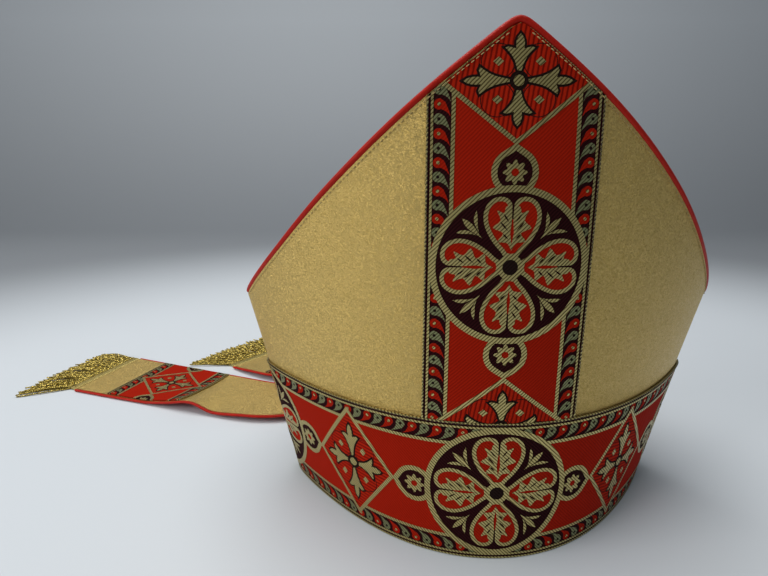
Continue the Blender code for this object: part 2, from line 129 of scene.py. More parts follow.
def level_section(height):
    """x, depth and outward normal along half a level section, and its length."""
    share = height / HEIGHT
    half_width = HEAD_HALF_WIDTH * read_table(SHELL_SECTIONS, "height", "half_width", share)
    half_depth = HEAD_HALF_DEPTH * read_table(SHELL_SECTIONS, "height", "half_depth", share)
    fullness = read_table(SHELL_SECTIONS, "height", "fullness", share)
    sharpness = read_table(SHELL_SECTIONS, "height", "sharpness", share)
    rise = min(height / CORNER_HEIGHT, 1.0)
    softness = SEAM_SOFTNESS_AT_RIM + rise * (SEAM_SOFTNESS_AT_CORNER - SEAM_SOFTNESS_AT_RIM)
    crown = math.hypot(half_depth, softness)
    reach = half_width / (1 - (softness / crown) ** (1 / fullness)) ** (1 / sharpness)
    x = half_width * np.sin(np.linspace(0, math.pi / 2, 961))
    arch = crown * (1 - (x / reach) ** sharpness) ** fullness
    depth = np.sqrt(np.maximum(arch**2 - softness**2, 0))
    depth[-1] = 0.0
    along = np.concatenate([[0], np.cumsum(np.hypot(np.diff(x), np.diff(depth)))])
    slope_x, slope_depth = np.gradient(x, along), np.gradient(depth, along)
    size = np.hypot(slope_x, slope_depth)
    rows = (x, depth, -slope_depth / size, slope_x / size)
    even = [np.interp(SHARES * along[-1], along, row) for row in rows]
    even[2][-1], even[3][-1] = 1.0, 0.0
    return even, along[-1]


sections = [level_section(height) for height in LEVELS]
SHELL = np.array([rows for rows, _ in sections]).transpose(1, 0, 2)
GIRTHS = np.array([girth for _, girth in sections])
print("half girth at the rim:", round(GIRTHS[0], 4), "at the corners:",
      round(float(np.interp(CORNER_HEIGHT, LEVELS, GIRTHS)), 4))

# %% Find points on the walls
def half_girth(height):
    """Distance along the cloth from the middle of a wall to its side seam."""
    return np.interp(height, LEVELS, GIRTHS)


def wall(side, height, across, outward=0.0):
    """Points on a wall, or outward of it, at heights and distances along the cloth from its middle."""
    side, height, across, outward = np.broadcast_arrays(
        *(np.asarray(value, float) for value in (side, height, across, outward)))
    level = np.clip(height / HEIGHT, 0, 1) * (len(LEVELS) - 1)
    low = np.minimum(level.astype(int), len(LEVELS) - 2)
    column = np.clip(abs(across) / half_girth(height), 0, 1) * (len(SHARES) - 1)
    left = np.minimum(column.astype(int), len(SHARES) - 2)
    up, over = level - low, column - left

    def read(rows):
        below = rows[low, left] * (1 - over) + rows[low, left + 1] * over
        above = rows[low + 1, left] * (1 - over) + rows[low + 1, left + 1] * over
        return below * (1 - up) + above * up

    x, depth, normal_x, normal_depth = (read(rows) for rows in SHELL)
    x = np.where(across < 0, -1, 1) * (x + outward * normal_x)
    y = side * (depth + outward * normal_depth)
    return np.stack([x + HEAD_CENTRE[0], y + HEAD_CENTRE[1], height], axis=-1)


CORNER_GIRTH = float(half_girth(CORNER_HEIGHT))

# Under its cord, the sewn horn is a little lower than the solid one, and its point is blunt.
TIP_BLUNTNESS = 0.0018
HORN_TRIM = 0.0019


def horn_height(across):
    """Height of the horn's edge at distances along the cloth from the middle of the wall."""
    drop = read_table(HORN_EDGE, "across", "drop", np.minimum(abs(across) / CORNER_GIRTH, 1.0))
    return HEIGHT - HORN_TRIM - np.hypot(drop * (HEIGHT - CORNER_HEIGHT), TIP_BLUNTNESS)


print("point of the front horn:", wall(FRONT, HEIGHT, 0.0).round(4))

# %% [markdown]
# ## Cloth as a mesh
#
# Cloth could be a single sheet with a Solidify modifier. Here both faces come from the same formula
# instead, because layers that are sewn on each other must keep their distance exactly. A slab takes
# two grids of points, for the upper and the under face, and closes the rim between them.

# %% Make pieces from points and faces
def add_piece(name, points, faces, finishes, cloth=None, which=None, crease=40):
    """Mesh object that rides with the mitre; cloth holds each point's place in the flat, in metres."""
    mesh = bpy.data.meshes.new(name)
    mesh.from_pydata(np.asarray(points, float).tolist(), [], faces)
    for finish in finishes:
        mesh.materials.append(finish)
    if which is not None:
        mesh.polygons.foreach_set("material_index", np.asarray(which, np.int32))
    if cloth is not None:
        corners = np.zeros(len(mesh.loops), np.int32)
        mesh.loops.foreach_get("vertex_index", corners)
        layer = mesh.uv_layers.new(name="cloth_metres")
        layer.uv.foreach_set("vector", np.asarray(cloth, np.float32)[corners].ravel())
    mesh.shade_smooth()
    mesh.set_sharp_from_angle(angle=math.radians(crease))
    piece = bpy.data.objects.new(name, mesh)
    bpy.context.scene.collection.objects.link(piece)
    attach(piece, "root")
    triangles = sum(len(face) - 2 for face in faces)
    print(f"{name}: {triangles} triangles")
    return piece


print("each point's place in the flat cloth is kept in the layer cloth_metres")

# %% Cloth with two faces
def slab(upper, under):
    """Points and faces of a cloth with two faces and a rim, from two grids of points."""
    rows, columns = upper.shape[:2]
    top = np.arange(rows * columns).reshape(rows, columns)
    quads = np.stack([top[:-1, :-1], top[:-1, 1:], top[1:, 1:], top[1:, :-1]], axis=-1).reshape(-1, 4)
    below = quads[:, ::-1] + rows * columns
    ring = np.concatenate([top[0, :-1], top[:-1, -1], top[-1, :0:-1], top[:0:-1, 0]])
    after = np.roll(ring, -1)
    rim = np.stack([after, ring, ring + rows * columns, after + rows * columns], axis=-1)
    points = np.concatenate([upper.reshape(-1, 3), under.reshape(-1, 3)])
    return points, quads, below, rim


def add_slab(name, upper, under, flat, face, lining=None):
    """Cloth piece from two grids; the lining, if there is one, shows on its under face."""
    points, quads, below, rim = slab(upper, under)
    faces = quads.tolist() + below.tolist() + rim.tolist()
    which = [0] * len(quads) + [1 if lining else 0] * len(below) + [0] * len(rim)
    cloth = np.concatenate([flat.reshape(-1, 2)] * 2)
    return add_piece(name, points, faces, [face] + ([lining] if lining else []), cloth, which)


trial_grid = np.zeros((4, 3, 3))
print("a slab of 4 by 3 points has", sum(map(len, slab(trial_grid, trial_grid)[1:])), "faces")

# %% [markdown]
# ## Nodes in a few words
#
# A finish is a material, and a material is a tree of nodes. Wiring it by hand is long, so small
# helpers do it: one starts a material, one adds a node and wires its inputs, one does arithmetic and
# one mixes two colours. Three more read the place in the cloth, make noise and raise a bump. All
# patterns are measured in metres, in the flat cloth or in the object's own space, so a thread is as
# thick on a lappet as on a wall.

# %% Helpers for finishes
def start_finish(name, roughness, metallic=0.0):
    """New material with its Principled shader; what is the same all over is set on the sockets."""
    material = bpy.data.materials.new(name)
    material.use_nodes = True
    tree = material.node_tree
    shader = tree.nodes["Principled BSDF"]
    shader.inputs["Roughness"].default_value = roughness
    shader.inputs["Metallic"].default_value = metallic
    return material, tree, shader


def node(tree, kind, wires=(), **settings):
    """Node with its settings; wires gives each input's name and a socket or a value."""
    made = tree.nodes.new("ShaderNode" + kind)
    for key, value in settings.items():
        setattr(made, key, value)
    for socket, value in dict(wires).items():
        if isinstance(value, bpy.types.NodeSocket):
            tree.links.new(value, made.inputs[socket])
        else:
            made.inputs[socket].default_value = value
    return made


def calc(tree, operation, first, second=0.0):
    """Result of one arithmetic step."""
    return node(tree, "Math", {0: first, 1: second}, operation=operation).outputs[0]


def blend_colors(tree, share, first, second):
    """First colour at share 0, second at share 1; a colour may be three numbers or a socket."""
    first, second = ((*c, 1.0) if isinstance(c, tuple) else c for c in (first, second))
    mix = node(tree, "Mix", {0: share, 6: first, 7: second}, data_type="RGBA", clamp_factor=True)
    return mix.outputs[2]


print("helpers:", ", ".join(helper.__name__ for helper in (start_finish, node, calc, blend_colors)))

# %% Helpers for places, noise and bumps
def cloth_place(tree):
    """The place in the flat cloth, in metres, as two sockets."""
    split = node(tree, "SeparateXYZ", {0: node(tree, "UVMap", uv_map="cloth_metres").outputs[0]})
    return split.outputs[0], split.outputs[1]


def solid_noise(tree, size, detail=3.0, roughness=0.6):
    """Noise in the object's own space whose lumps are about size metres."""
    where = node(tree, "TexCoord").outputs["Object"]
    noise = node(tree, "TexNoise", {"Vector": where, "Scale": 1 / size, "Detail": detail,
                                    "Roughness": roughness})
    return noise.outputs["Fac"]


def raise_bump(tree, shader, height, depth, strength=1.0):
    """Bump of this depth in metres from a height of 0 to 1."""
    bump = node(tree, "Bump", {"Strength": strength, "Distance": depth, "Height": height})
    tree.links.new(bump.outputs[0], shader.inputs["Normal"])
    return bump


print("helpers:", ", ".join(helper.__name__ for helper in (cloth_place, solid_noise, raise_bump)))

# %% [markdown]
# ## Gold cloth
#
# The walls and the lappets wear a plain weave with flat metal thread in it. From near, each thread
# crossing catches the light a little differently, and now and then one flashes. A noise texture alone
# looks like sand. A Voronoi texture gives each spot, about the size of a crossing, its own colour
# instead. That colour is random, so it also serves as a small random vector, which tilts the spot's
# normal on top of a woven bump.

# %% Gold cloth
THREAD = 0.00055
GLINT = 0.0006
FACET_TILT = 0.55
THREAD_RELIEF = 0.00012
CLOUD = 0.015


def make_gold_cloth():
    material, tree, shader = start_finish("gold_cloth_dressed", 0.4, 0.8)
    along, across = cloth_place(tree)
    flat = node(tree, "CombineXYZ", {0: along, 1: across}).outputs[0]
    cells = node(tree, "TexVoronoi", {"Vector": flat, "Scale": 1 / GLINT, "Randomness": 1.0})
    chance = node(tree, "SeparateColor", {0: cells.outputs["Color"]})
    base = blend_colors(tree, chance.outputs[0], (0.50, 0.345, 0.095), (0.74, 0.53, 0.18))
    clouds = solid_noise(tree, CLOUD, 2.0)
    cloudy = node(tree, "MapRange", {0: clouds, 1: 0.3, 2: 0.7, 3: 0.0, 4: 0.35}).outputs[0]
    base = blend_colors(tree, cloudy, base, (0.56, 0.40, 0.13))
    tree.links.new(base, shader.inputs["Base Color"])
    rough = node(tree, "MapRange", {0: chance.outputs[1], 3: 0.30, 4: 0.52})
    tree.links.new(rough.outputs[0], shader.inputs["Roughness"])
    warp = calc(tree, "SINE", calc(tree, "MULTIPLY", along, math.tau / THREAD))
    weft = calc(tree, "SINE", calc(tree, "MULTIPLY", across, math.tau / THREAD))
    threads = calc(tree, "MULTIPLY", warp, weft)
    bump = node(tree, "Bump", {"Strength": 0.5, "Distance": THREAD_RELIEF, "Height": threads})
    centred = node(tree, "VectorMath", {0: cells.outputs["Color"], 1: (0.5, 0.5, 0.5)},
                   operation="SUBTRACT")
    tilt = node(tree, "VectorMath", {0: centred.outputs[0], "Scale": FACET_TILT}, operation="SCALE")
    tilted = node(tree, "VectorMath", {0: bump.outputs[0], 1: tilt.outputs[0]}, operation="ADD")
    normal = node(tree, "VectorMath", {0: tilted.outputs[0]}, operation="NORMALIZE")
    tree.links.new(normal.outputs[0], shader.inputs["Normal"])
    return material


gold_cloth = make_gold_cloth()
print("gold cloth: threads of", THREAD * 1000, "mm")

# %% [markdown]
# ## Satin: the cords and the lining
#
# The piping is a bias strip of red satin drawn round a cotton cord, so it shines along its length and
# wrinkles slightly across it. The lining of the lappets and the gusset are the same satin laid flat.

# %% Red satin
def make_satin(name, dark, light, roughness, wrinkle, wrinkle_depth):
    material, tree, shader = start_finish(name, roughness)
    shader.inputs["Specular IOR Level"].default_value = 0.12
    patches = solid_noise(tree, wrinkle * 3)
    tree.links.new(blend_colors(tree, patches, dark, light), shader.inputs["Base Color"])
    raise_bump(tree, shader, solid_noise(tree, wrinkle, 4.0), wrinkle_depth)
    return material


red_cord = make_satin("red_cord_dressed", (0.32, 0.009, 0.004), (0.52, 0.018, 0.008),
                      roughness=0.4, wrinkle=0.0016, wrinkle_depth=0.0003)
red_lining = make_satin("red_lining_dressed", (0.30, 0.010, 0.006), (0.42, 0.018, 0.010),
                        roughness=0.5, wrinkle=0.004, wrinkle_depth=0.0004)
print("red satin for", red_cord.name, "and", red_lining.name)

# %% [markdown]
# ## Two walls of gold cloth
#
# Each wall is one grid. Its columns rise from the rim to the horn's edge, and its rows divide them
# evenly, so the top row is the edge itself. The inner face wears the plain red lining.

# %% The two walls
WALL_COLUMNS = 97
WALL_ROWS = 73
FINER_AT_SEAM = 1.15


def make_wall(side, name):
    share = np.linspace(1, -1, WALL_COLUMNS) * side
    share = np.sign(share) * (1 - (1 - abs(share)) ** FINER_AT_SEAM)
    rise = np.linspace(0, 1, WALL_ROWS)[:, None]
    height = rise * horn_height(share * CORNER_GIRTH)[None, :]
    across = share[None, :] * half_girth(np.minimum(height, CORNER_HEIGHT))
    shift = np.array([0, side * SEAM_GAP / 2, 0])
    outer = wall(side, height, across) + shift
    inner = wall(side, height, across, -WALL) + shift
    flat = np.stack([-side * across, height], axis=-1)
    piece = add_slab(name + "_dressed", outer, inner, flat, gold_cloth, red_lining)
    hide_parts(name)
    return piece


make_wall(FRONT, "front_panel")
make_wall(BACK, "back_panel")

# %% [markdown]
# ## Cords by sweeping a ring
#
# A curve with a bevel would draw a cord too, but the fringe and the stitches later need many short
# ones in one mesh, and a stitch is thinner at its ends. So a small function carries a ring of points
# along a path without letting it twist.

# %% Sweep a round cord along a path
def run_along(points):
    """Distance from the first point to each, along their path."""
    return np.concatenate([[0], np.cumsum(np.linalg.norm(np.diff(points, axis=0), axis=1))])


def sweep(path, radius, sides):
    """Points, faces and cloth places of a closed cord; radius may change along the path."""
    path = np.asarray(path, float)
    radius = np.broadcast_to(np.asarray(radius, float), len(path))
    ahead = np.gradient(path, axis=0)
    ahead /= np.linalg.norm(ahead, axis=1, keepdims=True)
    left = np.cross(ahead[0], (0.0, 0.0, 1.0))
    if np.linalg.norm(left) < 0.01:
        left = np.cross(ahead[0], (0.0, 1.0, 0.0))
    turns = np.arange(sides) * math.tau / sides
    rings = []
    for at, forward, r in zip(path, ahead, radius):
        left = left - forward * (left @ forward)
        left /= np.linalg.norm(left)
        up = np.cross(forward, left)
        rings.append(at + r * (np.outer(np.cos(turns), left) + np.outer(np.sin(turns), up)))
    index = np.arange(len(path) * sides).reshape(len(path), sides)
    beside = np.roll(index, -1, axis=1)
    faces = np.stack([index[:-1], beside[:-1], beside[1:], index[1:]], axis=-1).reshape(-1, 4).tolist()
    faces += [index[0, ::-1].tolist(), index[-1].tolist()]
    around = turns * radius.mean()
    flat = np.stack(np.meshgrid(run_along(path), around, indexing="ij"), axis=-1).reshape(-1, 2)
    return np.concatenate(rings), faces, flat


def join_meshes(parts):
    """One list of points, faces and cloth places from several."""
    points, faces, flats, start = [], [], [], 0
    for part_points, part_faces, part_flat in parts:
        points.append(part_points)
        flats.append(part_flat)
        faces += [[corner + start for corner in face] for face in part_faces]
        start += len(part_points)
    return np.concatenate(points), faces, np.concatenate(flats)


trial_path = [(0, 0, 0), (0, 0, 1), (0, 1, 2)]
print("a cord of 8 sides and 3 points has", len(sweep(trial_path, 0.1, 8)[1]), "faces")

# %% [markdown]
# ## Piping on the horns
#
# The cord is sewn between the wall and the gusset, so it rides on the edge of the wall. Its path is
# the edge, moved off it by the cord's radius less a little, as the seam draws it down into the cloth.
# At the point of the horn it turns in a small fan.

# %% Piping on the horns
PIPING_RADIUS = 0.0017
PIPING_SINK = 0.0002
PIPING_END_GAP = 0.0015


def make_horn_piping(side, name):
    seat = PIPING_RADIUS - PIPING_SINK
    across = np.linspace(0, CORNER_GIRTH, 141)
    shift = np.array([0, side * SEAM_GAP / 2, 0])
    edge = wall(side, horn_height(across), across, -WALL / 2) + shift
    along = np.gradient(edge, axis=0)
    facing = wall(side, horn_height(across), across, 0) - wall(side, horn_height(across), across, -WALL)
    off = np.cross(along, facing) * side
    off /= np.linalg.norm(off, axis=1, keepdims=True)
    lean = math.atan2(off[0, 0], off[0, 2])
    fan = [edge[0] + seat * np.array([math.sin(turn), 0, math.cos(turn)])
           for turn in np.linspace(0, lean, 6)[1:-1]]
    half = np.array(fan + list(edge + seat * off))
    half = half[abs(half[:, 1] - HEAD_CENTRE[1]) > PIPING_END_GAP]
    other = half[::-1].copy()
    other[:, 0] = 2 * HEAD_CENTRE[0] - other[:, 0]
    peak = edge[0] + seat * np.array([0, 0, 1])
    points, faces, flat = sweep(np.concatenate([other, [peak], half]), PIPING_RADIUS, 14)
    piece = add_piece(name + "_dressed", points, faces, [red_cord], flat, crease=70)
    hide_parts(name)


make_horn_piping(FRONT, "front_piping")
make_horn_piping(BACK, "back_piping")

# %% [markdown]
# ## The gusset
#
# Between the horns hangs a soft piece of lining satin, sewn in along both edges. It falls to a valley
# from corner to corner and pleats softly along it, so that the hat can be pressed flat. A cloth
# simulation would find some drape of its own, but this one has to hang where the solid hangs. So the
# drape is a curve from each seam to the valley, with the pleats as a wave that fades at the seams.

# %% The gusset
GUSSET_THICKNESS = 0.001
GUSSET_REACH = 0.955
GUSSET_SEAM_DROP = 0.0012
GUSSET_SEAM_DEPTH = 0.006
GUSSET_HANG_SHARE = 0.9
VALLEY_DROP = 0.009
VALLEY_RISE = 0.018
VALLEY_FOLDS = 3
VALLEY_FOLD_DEPTH = 0.006
PLEATS = 11
PLEAT_DEPTH = 0.0012


def gusset_grid(side, columns=97, drape_rows=25):
    """Half of the gusset, from the seam to the valley."""
    share = np.linspace(-GUSSET_REACH, GUSSET_REACH, columns)
    across = share * CORNER_GIRTH
    seam = horn_height(across) - GUSSET_SEAM_DROP
    inside = -(WALL + CLEARANCE)
    top = wall(side, seam, across, inside)
    bottom = wall(side, seam - GUSSET_SEAM_DEPTH, across, inside)
    for row in (top, bottom):
        row[:, 1] += side * SEAM_GAP / 2
    hang = bottom + (bottom - top) * 2
    hang[:, 1] = HEAD_CENTRE[1] + (hang[:, 1] - HEAD_CENTRE[1]) * GUSSET_HANG_SHARE
    corner = wall(side, CORNER_HEIGHT, CORNER_GIRTH)[0] - HEAD_CENTRE[0] - WALL
    level = CORNER_HEIGHT - VALLEY_DROP + VALLEY_RISE * (1 - share**2)
    fold = np.cos(2 * math.pi * VALLEY_FOLDS * share) * VALLEY_FOLD_DEPTH * (1 - share**4)
    x = HEAD_CENTRE[0] + share * corner
    valley = np.column_stack([x, np.full(columns, HEAD_CENTRE[1]), level + fold])
    t = np.linspace(0, 1, drape_rows)[:, None, None]
    drape = (1 - t) ** 2 * bottom + 2 * t * (1 - t) * hang + t**2 * valley
    pleat = np.sin(math.pi * PLEATS * share + side) * PLEAT_DEPTH * (1 - share**2)
    drape[:, :, 2] += (np.sin(math.pi * t[:, :, 0]) ** 2) * pleat
    return np.concatenate([top[None], drape])


front_half = gusset_grid(FRONT)
back_half = gusset_grid(BACK)
print("each half of the gusset is a grid of", front_half.shape[0], "by", front_half.shape[1], "points")

# %% Both halves as one cloth
under = np.concatenate([front_half, back_half[-2::-1]])
row_step = np.gradient(under, axis=0)
column_step = np.gradient(under, axis=1)
up = np.cross(column_step, row_step)
up /= np.linalg.norm(up, axis=-1, keepdims=True)
run = run_along(under[:, under.shape[1] // 2])
sideways = np.linspace(-1, 1, under.shape[1]) * CORNER_GIRTH
flat = np.stack(np.meshgrid(run, sideways, indexing="ij"), axis=-1)
gusset = add_slab("gusset_dressed", under + up * GUSSET_THICKNESS, under, flat, red_lining)
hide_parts("gusset")
area = float(np.linalg.norm(np.cross(row_step, column_step), axis=-1)[:-1, :-1].sum())
print("gusset:", round(run[-1], 4), "m from seam to seam,", round(area, 4), "square metres")

# %% [markdown]
# ## The galloon, drawn with loops
#
# Galloon is a ribbon that is woven with its pattern: a ring with four heart-shaped petals, small
# flowered ovals, and a diamond with a cross of lilies, between borders of curled leaves. An image
# would blur from near. Here each motif is a closed loop, in shares of the ribbon's width, and the
# loops are later cut into the cloth itself, so the gold can stand up from the ground.
#
# A few shapes repeat, so they are drawn as halves and mirrored.

# %% Loops to draw with
def circle(radius, steps=40):
    turn = np.arange(steps) * math.tau / steps
    return radius * np.stack([np.cos(turn), np.sin(turn)], axis=-1)


def smooth(points, steps=3):
    """Curve through a few points, with its ends kept."""
    points = np.asarray(points, float)
    padded = np.concatenate([[2 * points[0] - points[1]], points, [2 * points[-1] - points[-2]]])
    t = (np.arange(steps) / steps)[:, None]
    curve = []
    for a, b, c, d in zip(padded, padded[1:], padded[2:], padded[3:]):
        curve.append(b + 0.5 * t * (c - a + t * (2 * a - 5 * b + 4 * c - d + t * (3 * (b - c) + d - a))))
    return np.concatenate(curve + [points[-1:]])


def mirrored(half):
    """Loop from its right half, which starts and ends on the middle line."""
    return np.concatenate([half, half[-2:0:-1] * (-1, 1)])


def inset(loop, distance):
    """Loop moved inwards by an even distance, or outwards if it is negative."""
    edge = np.roll(loop, -1, axis=0) - loop
    edge /= np.linalg.norm(edge, axis=1, keepdims=True)
    inward = np.stack([-edge[:, 1], edge[:, 0]], axis=-1)
    before = np.roll(inward, 1, axis=0)
    bend = np.maximum(1 + (inward * before).sum(axis=1, keepdims=True), 0.35)
    following = np.roll(loop, -1, axis=0)
    turning = (loop[:, 0] * following[:, 1] - following[:, 0] * loop[:, 1]).sum()
    return loop + (inward + before) / bend * distance * np.sign(turning)


print("inset of a circle of radius 1 by 0.1:", inset(circle(1.0), 0.1)[0].round(3))

# %% Turn a loop, or draw a slim leaf
def turned(loop, degrees, x=0.0, y=0.0):
    angle = math.radians(degrees)
    across = np.array([[math.cos(angle), math.sin(angle)], [-math.sin(angle), math.cos(angle)]])
    return loop @ across + (x, y)


def spindle(root, tip, width, bow=0.0):
    """Slim leaf from its root to its tip, bowed to its left."""
    root, tip = np.asarray(root, float), np.asarray(tip, float)
    left = np.array([root[1] - tip[1], tip[0] - root[0]])
    left /= np.linalg.norm(left)
    t = np.linspace(0, 1, 6)[:, None]
    middle = root + t * (tip - root) + left * bow * 4 * t * (1 - t)
    swell = width / 2 * np.sin(math.pi * t**1.5)
    return np.concatenate([middle - left * swell, (middle + left * swell)[-2:0:-1]])


print("a slim leaf is a loop of", len(spindle((0, 0), (1, 0), 0.2)), "points")

# %% [markdown]
# Now the motifs. Each is a list of colour and loop, in the order in which they cover each other.

# %% The ring with its four petals
RING = 0.470
RING_LINE = 0.038
PETAL_HALF = ((0, 0.054), (0.038, 0.064), (0.060, 0.092), (0.096, 0.132), (0.130, 0.182), (0.154, 0.232),
              (0.165, 0.280), (0.162, 0.325), (0.143, 0.368), (0.108, 0.398), (0.066, 0.406),
              (0.032, 0.396), (0.012, 0.375), (0, 0.345))
PETAL_LINE = 0.025
PALMETTE_HALF = ((0, 0.100), (0.026, 0.142), (0.080, 0.152), (0.050, 0.200), (0.110, 0.230),
                 (0.068, 0.272), (0.090, 0.328), (0.050, 0.314), (0.040, 0.350), (0, 0.356))
SLIT = ((-0.007, 0.385), (-0.004, 0.27), (0.004, 0.27), (0.007, 0.385))
VEIN = ((0, 0.132), (0.011, 0.20), (0.004, 0.28), (-0.004, 0.28), (-0.011, 0.20))
SIDE_VEINS = (((0.016, 0.160), (0.052, 0.196)), ((0.018, 0.206), (0.070, 0.266)),
              ((0.016, 0.258), (0.052, 0.310)))
SIDE_VEIN_WIDTH = 0.011
FANS = (((0.168, 0.168), (0.282, 0.286), 0.036, 0.0), ((0.186, 0.200), (0.198, 0.318), 0.022, -0.012),
        ((0.200, 0.186), (0.326, 0.205), 0.022, 0.012))


def ring_motif():
    motif = [("gold", circle(RING, 96)), ("maroon", circle(RING - RING_LINE, 96))]
    petal = mirrored(smooth(PETAL_HALF))
    palmette = mirrored(smooth(PALMETTE_HALF, 3))
    for quarter in (0, 90, 180, 270):
        motif.append(("gold", turned(petal, quarter)))
        motif.append(("red", turned(inset(petal, PETAL_LINE), quarter)))
        motif.append(("gold", turned(palmette, quarter)))
        motif.append(("maroon", turned(np.array(SLIT), quarter)))
        motif.append(("red", turned(np.array(VEIN), quarter)))
        for root, tip in SIDE_VEINS:
            for side in (1, -1):
                vein = spindle(root, tip, SIDE_VEIN_WIDTH) * (side, 1)
                motif.append(("maroon", turned(vein, quarter)))
        for root, tip, width, bow in FANS:
            motif.append(("gold", turned(spindle(root, tip, width, bow), quarter)))
    motif.append(("gold", circle(0.075, 32)))
    motif.append(("dark", circle(0.046, 24)))
    return motif


print("ring motif:", len(ring_motif()), "loops")

# %% The small oval with its flower
OVAL = 0.133
OVAL_SLOPE = math.radians(33)
OVAL_REACH = OVAL / math.cos(OVAL_SLOPE)
OVAL_OVERLAP = 0.012
OVAL_LINE = 0.034
FLOWER = 0.058
FLOWER_PETALS = 8
FLOWER_WAVE = 0.22
FLOWER_HEART = 0.022


def oval_motif():
    """The oval's point looks to the right, where it meets the diamond."""
    turn = np.linspace(-math.pi, math.pi, 49)[:-1]
    reach = OVAL / np.cos(np.maximum(0, OVAL_SLOPE - abs(turn)))
    loop = np.stack([reach * np.cos(turn), reach * np.sin(turn)], axis=-1)
    reach = FLOWER * (1 + FLOWER_WAVE * np.cos(FLOWER_PETALS * turn))
    flower = np.stack([reach * np.cos(turn), reach * np.sin(turn)], axis=-1)
    return [("gold", loop), ("maroon", inset(loop, OVAL_LINE)), ("gold", flower),
            ("red", circle(FLOWER_HEART, 16))]


print("oval motif:", len(oval_motif()), "loops")

# %% The diamond with its cross of lilies
DIAMOND_HALF_LENGTH = 0.340
DIAMOND_HALF_WIDTH = 0.440
DIAMOND_LINE = 0.026
LILY_HALF = ((0.046, 0), (0.052, 0.010), (0.088, 0.020), (0.125, 0.032), (0.160, 0.052), (0.190, 0.078),
             (0.212, 0.100), (0.219, 0.078), (0.212, 0.050), (0.206, 0.025), (0.228, 0.029),
             (0.256, 0.027), (0.284, 0.016), (0.302, 0))
LILY_SHADE = 0.013
LILIES = ((0, 0.79, 0.80), (90, 1.0, 0.70), (180, 0.79, 0.80), (270, 1.0, 0.70))
LOZENGE_PLACE = (0.099, 0.114)
LOZENGE = (0.024, 0.029)
QUADRANT = 0.094
QUADRANT_LINE = 0.005


def diamond_motif():
    corners = np.array([(DIAMOND_HALF_LENGTH, 0), (0, DIAMOND_HALF_WIDTH),
                        (-DIAMOND_HALF_LENGTH, 0), (0, -DIAMOND_HALF_WIDTH)])
    motif = [("gold", corners), ("rib", inset(corners, DIAMOND_LINE))]
    quarters = [(x, y) for x in (-1, 1) for y in (-1, 1)]
    for x, y in quarters:
        centre = np.array(LOZENGE_PLACE) * (x, y)
        motif.append(("dark", circle(QUADRANT, 28) + centre))
        motif.append(("rib", circle(QUADRANT - QUADRANT_LINE, 28) + centre))
    lily = mirrored(np.array(LILY_HALF)[:, ::-1])[:, ::-1]
    lilies = [turned(lily * (length, spread), degrees) for degrees, length, spread in LILIES]
    motif += [("dark", inset(loop, -LILY_SHADE)) for loop in lilies]
    motif += [("gold", loop) for loop in lilies]
    motif += [("dark", circle(0.052, 20)), ("gold", circle(0.030, 16))]
    width, height = LOZENGE
    lozenge = np.array([(width, 0), (0, height), (-width, 0), (0, -height)])
    motif += [("gold", lozenge + np.array(LOZENGE_PLACE) * quarter) for quarter in quarters]
    return motif


print("diamond motif:", len(diamond_motif()), "loops")

# %% The borders with their curled leaves
SELVEDGE_LINES = ((0.500, 0.489), (0.475, 0.461))
INNER_LINE = (0.361, 0.339)
LEAF_ROW = 0.430
LEAF_HEAD = 0.030
LEAF_TAIL = ((-0.036, -0.032), (-0.047, -0.049), (-0.069, -0.066), (-0.031, -0.053), (0.010, -0.034))
LEAF_DOT = 0.010
LEAVES_A_REPEAT = 26


def curled_leaf():
    turn = np.radians(np.linspace(-17, 204, 12))
    head = LEAF_HEAD * np.stack([np.cos(turn), np.sin(turn)], axis=-1)
    return np.concatenate([head, np.array(LEAF_TAIL)])


def strip(start, end, outer, inner):
    return np.array([(start, inner), (end, inner), (end, outer), (start, outer)])


def border_motifs(start, end, centre, repeat):
    """Both borders of a ribbon from start to end, whose repeats are counted from centre."""
    motif = []
    pitch = repeat / LEAVES_A_REPEAT
    first = math.floor((start - centre) / pitch)
    last = math.ceil((end - centre) / pitch)
    for edge in (1, -1):
        motif.append(("maroon", strip(start, end, 0.5, INNER_LINE[0]) * (1, edge)))
        for outer, inner in SELVEDGE_LINES + (INNER_LINE,):
            motif.append(("gold", strip(start, end, outer, inner) * (1, edge)))
        for count in range(first, last):
            x = centre + (count + 0.5) * pitch
            gold = count % 2 == 0
            motif.append(("sage" if gold else "red", (curled_leaf() + (x, LEAF_ROW)) * (1, edge)))
            motif.append(("dark" if gold else "gold", (circle(LEAF_DOT, 8) + (x, LEAF_ROW)) * (1, edge)))
    return motif


print("one repeat of border:", len(border_motifs(0, 2.05, 0, 2.05)), "loops")

# %% [markdown]
# Along the ribbon the motifs repeat: ring, oval, diamond, oval and the next ring. One function lays
# them out for any length, from the places where the rings fall. The rings come last, so they cover
# the ends of the ovals.

# %% A length of galloon
REPEAT = 0.1644


def galloon_motifs(start, end, rings, width):
    """All motifs of a ribbon from start to end in metres; a diamond lies midway between two rings."""
    start, end = start / width, end / width
    rings = np.array(rings) / width
    loops = border_motifs(start, end, rings[0], REPEAT / width)
    reach = DIAMOND_HALF_LENGTH + OVAL_REACH - OVAL_OVERLAP
    for diamond in (rings[:-1] + rings[1:]) / 2:
        for side in (-1, 1):
            oval_place = (diamond + side * reach, 0)
            loops += [(key, loop * (-side, 1) + oval_place) for key, loop in oval_motif()]
        loops += [(key, loop + (diamond, 0)) for key, loop in diamond_motif()]
    for ring in rings:
        loops += [(key, loop + (ring, 0)) for key, loop in ring_motif()]
    return [(key, loop * width) for key, loop in loops
            if loop[:, 0].max() > start and loop[:, 0].min() < end]


print("galloon for one repeat:", len(galloon_motifs(0, REPEAT, (0, REPEAT), 0.080)), "loops")

